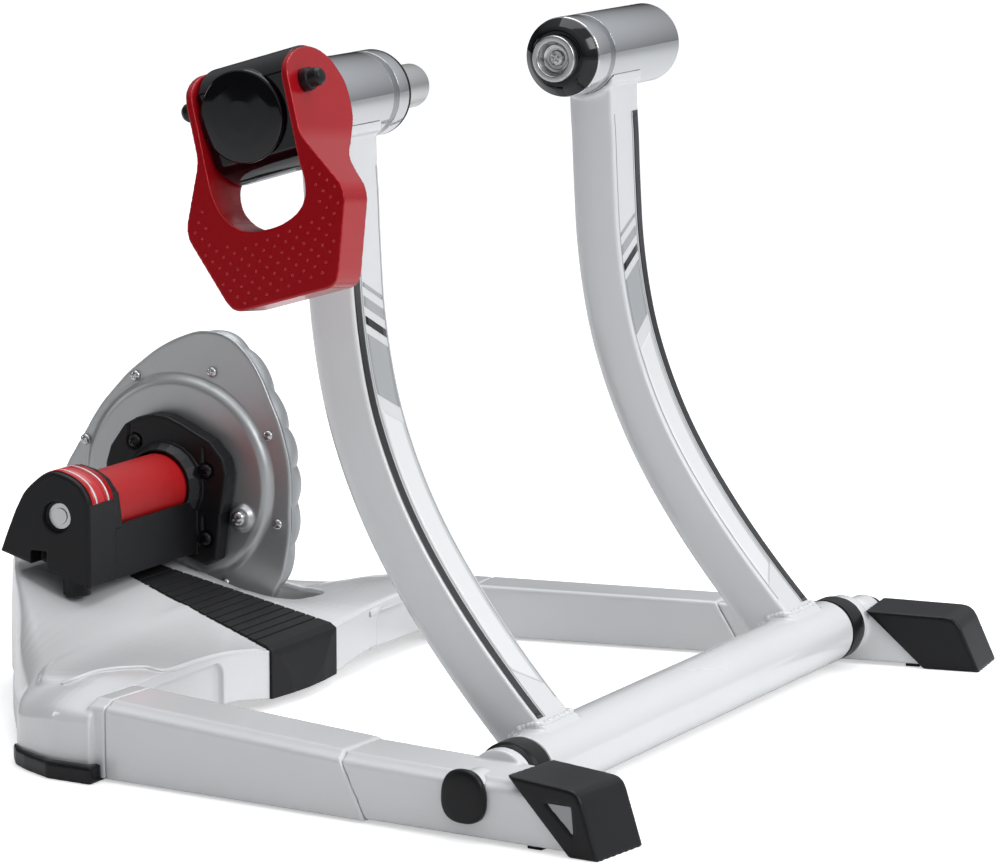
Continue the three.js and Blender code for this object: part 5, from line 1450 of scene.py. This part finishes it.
    def handle(self) -> None:
        """The lever: two ears that join in a broad handle with a round window."""
        half, top = self.ear_half, self.ear_top
        corners = [(0, top), (half, top), *self.outline(), (-half, top), (0, top)]
        front = softened(corners, 5.0, 6)[:-1]
        made = block("lever_front", [self.spot(x, self.outer_face, up) for x, up in front],
                     self.spot(0, 52, 0) - self.spot(0, self.outer_face, 0))
        line = [(max(y, self.outer_face), up) for y, up in curve(self.side_line, 4)]
        reach = self.spot(60, 0, 0) - self.spot(-60, 0, 0)
        profile = block("lever_side", [self.spot(-60, y, up) for y, up in line], reach)
        made = combined(made, profile, Cut.INTERSECT)
        wide, low = self.window_size
        line = [(a * wide, b * low) for a, b in curve(self.window_shares, 6)]
        line = [(-wide, 40), *line, (wide, 40)]
        window = block("window", [self.spot(x, -40, up) for x, up in line],
                       self.spot(0, 80, 0) - self.spot(0, -40, 0))
        made = combined(made, window, Cut.DIFFERENCE)
        self.bench.fit(molten(made, 0.5, 5), LEVER_RED, "clamp_lever")

    def dots(self) -> None:
        """Small raised grip dots in slanted rows over the lower face of the lever."""
        outline = self.outline()
        drops = []
        for row in range(13):
            for column in range(-8, 9):
                x = column * 7.4 + (row % 2) * 3.7
                up = -54 - row * 4.7 + 0.1 * x
                window = abs(x) < 34 and up > -81 + 0.004 * x * x
                if window or not clear_of(outline, (x, up), 3.6):
                    continue
                spot = self.spot(x, self.outer_face - 0.05, up)
                drops.append(ball("drop", spot, Vector((0.95, 0.6, 0.95)) * MM, 6))
        self.bench.fit(joined("grip_dots", drops), LEVER_RED, "clamp_lever", keep=True)

    def pins(self) -> None:
        """The pin and the nut on its other end."""
        neck = self.ear_half
        end = [(6.6, neck + 0.3), (6.6, neck + 4.9), (5.3, neck + 4.9), (5.3, neck + 9.9),
               (3.7, neck + 12.0), (0, neck + 12.6)]
        pin = [(0, -neck - 4.6), (4, -neck - 4.6), (4, neck + 0.3), *end]
        self.bench.fit(self.bar("pin_rod", pin, self.origin, 0.5), PIN_BLACK, "lever_pin")
        nut = mirrored([(4.2, neck + 0.3), *end], -1)
        self.bench.fit(self.bar("pin_end", nut, self.origin, 0.5), PIN_BLACK, "lever_pin_nut")


@dataclass(frozen=True)
class ScrewSize:
    """Sizes of a domed screw head in mm."""

    radius: float
    thick: float
    wide: float
    deep: float


@dataclass
class Resistance:
    """Roller, its holder and the fluid unit with plate, casing and screws."""

    bench: Bench
    axis: tuple[float, float] = (-468.0, 118.1)
    face: float = 60.3
    radius: float = 100.0
    outline_shares: tuple[float, ...] = (
        0.808, 0.811, 0.818, 0.837, 0.865, 0.92, 0.98, 1.013, 0.985, 0.918, 0.855, 0.8, 0.765, 0.739, 0.733,
        0.735, 0.75, 0.793, 0.857, 0.9, 0.918, 0.9, 0.84, 0.79, 0.76, 0.765, 0.78, 0.825, 0.88, 0.95, 0.99,
        0.98, 0.945, 0.89, 0.85, 0.815,
    )
    depth_shares: tuple[float, ...] = (0, 0.12, 0.3, 0.55, 0.78, 0.93, 1)
    size_shares: tuple[float, ...] = (0.985, 0.99, 0.965, 0.89, 0.77, 0.63, 0.5)
    wave_shares: tuple[float, ...] = (0, 0.6, 1, 1, 0.9, 0.5, 0)
    hood_shares: tuple[tuple[float, float], ...] = (
        (0.84, -1.54), (0.844, -0.8), (0.84, 0.14), (0.796, 0.46), (0.607, 0.739), (0.307, 0.918), (-0.06, 1),
        (-0.357, 0.91), (-0.653, 0.686), (-0.86, 0.46), (-1.068, 0.075), (-1.318, -0.507), (-1.457, -0.868),
    )
    hood_size: float = 28.0
    fins: int = 20
    fin_height: float = 2.8
    bowl_depth: float = 41.0
    plate_thick: float = 2.6
    gasket_thick: float = 1.2
    gap: float = 0.3
    filler_reach: float = 52.0
    filler_angle: float = math.radians(-22.6)
    # Radius, near end and far end of the holes in the holder
    bores: tuple[tuple[float, float, float], ...] = ((22.5, -59.5, 41.5), (10.0, -95, -86.1), (8.2, -90, -58))
    # Profile of a screw's dome, as shares of its radius and thickness
    dome_shares: tuple[tuple[float, float], ...] = ((0, 0), (0.3, 0.03), (0.55, 0.12), (0.75, 0.27), (0.9, 0.5))
    rim: ScrewSize = ScrewSize(3.7, 2.6, 1.0, 1.0)
    flange: ScrewSize = ScrewSize(4.6, 3.2, 1.1, 1.3)
    filler: ScrewSize = ScrewSize(5.2, 4.0, 1.4, 1.6)

    def build(self) -> None:
        """Makes the turned and moulded pieces, and dresses the others."""
        roller = [(5.15, -58), (19.8, -58), (21, -56.8), (21, 38.8), (19.8, 40), (5.15, 40), (5.15, -58)]
        self.bench.fit(self.bench.turned("drum", roller, self.axis, 0.5, 160), ROLLER_RED, "roller")
        for node in ("roller_shaft", "near_bearing", "far_bearing"):
            self.bench.dress(node, STEEL)
        self.holder()
        for node in ("mount_pad", "shaft_seal", "unit_gasket"):
            self.bench.dress(node, FOOT)
        self.plate()
        self.casing()
        self.bench.dress("impeller", CASING)
        for i in range(1, 9):
            self.screw(f"rim_screw_{i}", self.rim, STEEL, 0.7 * i)
        for i in range(1, 4):
            self.screw(f"flange_screw_{i}", self.flange, PIN_BLACK, 0.5 * i)
        self.screw("filler_screw", self.filler, STEEL, 0.4)

    def hood_line(self, grow: float) -> list[tuple[float, float]]:
        """The hood's round outline from its front foot to its rear foot, in mm from the roller's axis."""
        size = self.hood_size + grow
        return [(size * a, size * b) for a, b in curve(self.hood_shares, 8)]

    def holder(self) -> None:
        """The roller's holder with its smooth hood, and the bare red band over it."""
        x0, z0 = self.axis
        made = self.bench.copy("roller_holder")
        made.name = "holder_moulding"
        hood = [self.bench.place(x0 + x, -89.4, z0 + z) for x, z in self.hood_line(-0.15)]
        made = combined(made, block("hood", hood, Vector((0, 30 * MM, 0))), Cut.UNION)
        lip = [(-61, -10.5), (-50.4, -10.5), (-50.4, -8.5), (-54.3, 12), (-61, 12)]
        lip = [self.bench.place(x0 + 20.5, y, z0 + z) for y, z in lip]
        made = combined(made, block("lip", lip, Vector((2.9 * MM, 0, 0))), Cut.UNION)
        for radius, low, high in self.bores:
            hole = self.bench.rod("hole", radius, (low, high), self.axis, steps=96)
            made = combined(made, hole, Cut.DIFFERENCE)
        notch = [(-486.8, 60), (-475.2, 60), (-475.2, 96.1), (-486.8, 96.1)]
        notch = [self.bench.place(x, -95, z) for x, z in notch]
        made = combined(made, block("notch", notch, Vector((0, 17 * MM, 0))), Cut.DIFFERENCE)
        self.bench.fit(molten(made, 0.5, 4), HOLDER, "roller_holder")
        self.bench.fit(self.band("label_band", (-86.6, -61.8), 0.25, 0.35), LABEL_RED, "holder_label")
        for name, ends in (("label_line_near", (-82.0, -80.4)), ("label_line_far", (-68.0, -66.4))):
            self.bench.fit(self.band(name, ends, 0.42, 0.1), DECAL_WHITE, "holder_label", keep=True)

    def band(self, name: str, ends: tuple[float, float], grow: float, thick: float) -> Piece:
        """A thin bent band laid over the hood.

        Args:
            name: name of the piece.
            ends: where it begins and ends across the trainer, in mm.
            grow: how far its middle stands off the hood, in mm.
            thick: its thickness in mm.

        Returns:
            The band.
        """
        x0, z0 = self.axis
        arc = [p for p in self.hood_line(grow) if p[1] > 8 and p[0] > -16]
        rows = [[self.bench.place(x0 + x, y, z0 + z) for x, z in arc] for y in ends]
        return sheet(name, rows, thick)

    def outline(self, angle: float) -> float:
        """How far the unit reaches from the roller's axis.

        Args:
            angle: direction in radians, from the front upwards.

        Returns:
            The reach in mm.
        """
        count = len(self.outline_shares)
        place = (angle / (2 * math.pi) * count) % count
        i = int(place)
        four = [self.outline_shares[(i + k) % count] for k in (-1, 0, 1, 2)]
        return self.radius * catmull(four, 1 + place - i)

    def ring(self, share: float, y: float, steps: int, wave: float = 0.0) -> list[Vector]:
        """A ring of points on the unit's outline.

        Args:
            share: size of the ring against the outline.
            y: place across the trainer in mm.
            steps: how many points.
            wave: height of the cooling ribs in mm.

        Returns:
            The points.
        """
        x0, z0 = self.axis
        points = []
        for k in range(steps):
            angle = 2 * math.pi * k / steps
            crest = abs(math.cos(angle * self.fins / 2)) ** 0.7
            reach = self.outline(angle) * share + wave * (crest - 0.5)
            points.append(self.bench.place(x0 + reach * math.cos(angle), y, z0 + reach * math.sin(angle)))
        return points

    def plate(self) -> None:
        """The pressed front plate with its raised round step and filler boss."""
        f = self.face
        rows = [(0.985, f + self.plate_thick), (1.0, f + 2.1), (1.0, f + 0.7), (0.993, f + 0.15), (0.98, f)]
        made = grid("pressed_plate", [self.ring(share, y, 360) for share, y in rows], closed=True, caps=True)
        step = [(0, f - 4.6), (62.6, f - 4.6), (65.2, f - 3.4), (66.9, f - 1.2), (68.6, f), (68.6, f + 1),
                (0, f + 1)]
        made = combined(made, self.bench.turned("step", step, self.axis, 1.2, 160), Cut.UNION)
        x = self.axis[0] + self.filler_reach * math.cos(self.filler_angle)
        z = self.axis[1] + self.filler_reach * math.sin(self.filler_angle)
        boss = [(0, f - 8.6), (6.6, f - 8.6), (8.2, f - 6), (8.9, f - 4.6), (8.9, f - 3), (0, f - 3)]
        made = combined(made, self.bench.turned("boss", boss, (x, z), 0.7, 64), Cut.UNION)
        hole = self.bench.rod("hole", 11, (f - 20, f + 20), self.axis, steps=64)
        made = combined(made, hole, Cut.DIFFERENCE)
        self.bench.fit(molten(made, 0.6, 3), PLATE, "front_plate")

    def casing(self) -> None:
        """The finned bowl behind the plate."""
        front = self.face + self.plate_thick + self.gap + self.gasket_thick + self.gap
        shares = list(zip(self.size_shares, self.depth_shares, self.wave_shares))
        rows = [self.ring(share, front + min(depth, 1.0) * self.bowl_depth, 640, self.fin_height * max(wave, 0))
                for share, depth, wave in curve(shares, 8)]
        made = grid("finned_bowl", rows, closed=True, caps=True, sharp=60)
        self.bench.fit(made, CASING, "finned_casing")

    def screw(self, node: str, size: ScrewSize, finish: Finish, turn: float) -> None:
        """A domed screw head with a cross recess in place of a node's.

        Args:
            node: the node it replaces.
            size: sizes of the head.
            finish: the finish it takes.
            turn: how far the cross is turned.
        """
        low, high = self.bench.box(node)
        middle = (low + high) / 2
        x, z = middle.x / MM - self.bench.front / MM, middle.z / MM
        top = low.y / MM
        r, h = size.radius, size.thick
        dome = [(r * a, top + h * b) for a, b in self.dome_shares]
        dome += [(r, top + h), (r * 0.5, top + h), (r * 0.5, high.y / MM), (0, high.y / MM)]
        made = self.bench.turned(node + "_head", dome, (x, z), 0.25, 48)
        for quarter in (0, 1):
            angle = turn + quarter * math.pi / 2
            a, b = Vector((math.cos(angle), math.sin(angle))), Vector((-math.sin(angle), math.cos(angle)))
            corners = [a * (sa * r * 0.52) + b * (sb * size.wide / 2) for sa, sb in CORNERS]
            cutter = block("slot", [self.bench.place(x + c.x, top - 2, z + c.y) for c in corners],
                           Vector((0, (2 + size.deep) * MM, 0)))
            made = combined(made, cutter, Cut.DIFFERENCE)
        shaded(made.data)
        self.bench.fit(made, finish, node)


@dataclass(frozen=True)
class Lamp:
    """A square soft light: its name, place, side in metres and power in watts."""

    name: str
    place: tuple[float, float, float]
    size: float
    power: float


@dataclass
class Studio:
    """Pale floor, soft lights and the camera at the photograph's angle."""

    place: tuple[float, float, float] = (1.426354, -2.7265, 0.6788)
    azimuth: float = math.radians(26.5016)
    elevation: float = math.radians(9.36276)
    lens: float = 183.917
    floor_size: float = 40.0
    floor_glow: float = 0.5
    # Where the soft light comes from, and how its strength rises towards there
    sky: tuple[float, float, float] = (0.40, 0.14, 0.906)
    sky_full: float = 0.85
    sky_range: tuple[float, float] = (0.05, 0.85)
    # What the lamps look at
    aim: tuple[float, float, float] = (0.0, 0.0, 0.15)
    lamps: tuple[Lamp, ...] = (
        Lamp("Key", (2.5, -0.4, 1.8), 1.3, 30.0),
        Lamp("Top", (0.0, 0.5, 2.8), 2.2, 34.0),
        Lamp("Side", (-2.3, -1.0, 0.9), 0.5, 4.0),
    )

    def build(self) -> None:
        """Makes the floor, the lights and the camera."""
        self.floor()
        self.world()
        for lamp in self.lamps:
            self.hang(lamp)
        self.camera()

    def floor(self) -> None:
        """A wide pale floor under the trainer, whose glow only the camera sees."""
        half = self.floor_size / 2
        corners = [Vector((a * half, b * half, 0)) for a, b in CORNERS]
        floor = piece_of("floor", corners, [(0, 1, 2, 3)])
        made = bpy.data.materials.new("Floor_pale")
        made.use_nodes = True
        shader = made.node_tree.nodes["Principled BSDF"]
        shader.inputs["Base Color"].default_value = (0.9, 0.9, 0.9, 1)
        shader.inputs["Roughness"].default_value = 0.7
        shader.inputs["Specular IOR Level"].default_value = 0.2
        shader.inputs["Emission Color"].default_value = (1, 1, 1, 1)
        seen = made.node_tree.nodes.new("ShaderNodeLightPath")
        glow = made.node_tree.nodes.new("ShaderNodeMath")
        glow.operation = "MULTIPLY"
        glow.inputs[1].default_value = self.floor_glow
        made.node_tree.links.new(seen.outputs["Is Camera Ray"], glow.inputs[0])
        made.node_tree.links.new(glow.outputs["Value"], shader.inputs["Emission Strength"])
        floor.data.materials.append(made)

    def world(self) -> None:
        """Soft light from above that falls off towards the horizon."""
        world = bpy.data.worlds.new("Studio_light")
        bpy.context.scene.world = world
        world.use_nodes = True
        back = world.node_tree.nodes["Background"]
        back.inputs["Color"].default_value = (0.94, 0.96, 1.0, 1)
        place = world.node_tree.nodes.new("ShaderNodeTexCoord")
        slope = world.node_tree.nodes.new("ShaderNodeVectorMath")
        slope.operation = "DOT_PRODUCT"
        slope.inputs[1].default_value = self.sky
        ramp = world.node_tree.nodes.new("ShaderNodeMapRange")
        low, high = self.sky_range
        for label, value in (("From Min", 0.0), ("From Max", self.sky_full), ("To Min", low), ("To Max", high)):
            ramp.inputs[label].default_value = value
        world.node_tree.links.new(place.outputs["Generated"], slope.inputs[0])
        world.node_tree.links.new(slope.outputs["Value"], ramp.inputs["Value"])
        world.node_tree.links.new(ramp.outputs["Result"], back.inputs["Strength"])

    def hang(self, lamp: Lamp) -> None:
        """Hangs a lamp so that it looks at the trainer.

        Args:
            lamp: the lamp.
        """
        data = bpy.data.lights.new(lamp.name, "AREA")
        data.size = lamp.size
        data.energy = lamp.power
        made = linked(lamp.name, data)
        made.location = lamp.place
        made.rotation_euler = (Vector(self.aim) - Vector(lamp.place)).to_track_quat("-Z", "Y").to_euler()

    def camera(self) -> None:
        """The camera, placed and turned as fitted to the photograph."""
        sin_a, cos_a = math.sin(self.azimuth), math.cos(self.azimuth)
        sin_e, cos_e = math.sin(self.elevation), math.cos(self.elevation)
        right = Vector((cos_a, sin_a, 0))
        up = Vector((-sin_a * sin_e, cos_a * sin_e, cos_e))
        look = Vector((-sin_a * cos_e, cos_a * cos_e, -sin_e))
        data = bpy.data.cameras.new("Photo_camera")
        data.lens = self.lens
        data.sensor_width = 36.0
        data.sensor_fit = "HORIZONTAL"
        data.clip_end = 100.0
        camera = linked("Photo_camera", data)
        turn = Matrix((right, up, -look)).transposed().to_4x4()
        camera.matrix_world = Matrix.Translation(Vector(self.place)) @ turn
        bpy.context.scene.camera = camera


def main() -> None:
    """Builds the sub-assemblies in order."""
    logging.basicConfig(level=logging.INFO, format="%(message)s")
    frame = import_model()
    bpy.context.scene.view_settings.view_transform = "Standard"
    bench = Bench(frame)
    Base(bench).build()
    FoldingFrame(bench).build()
    Clamps(bench).build()
    Lever(bench).build()
    Resistance(bench).build()
    Studio().build()


if __name__ == "__main__":
    main()
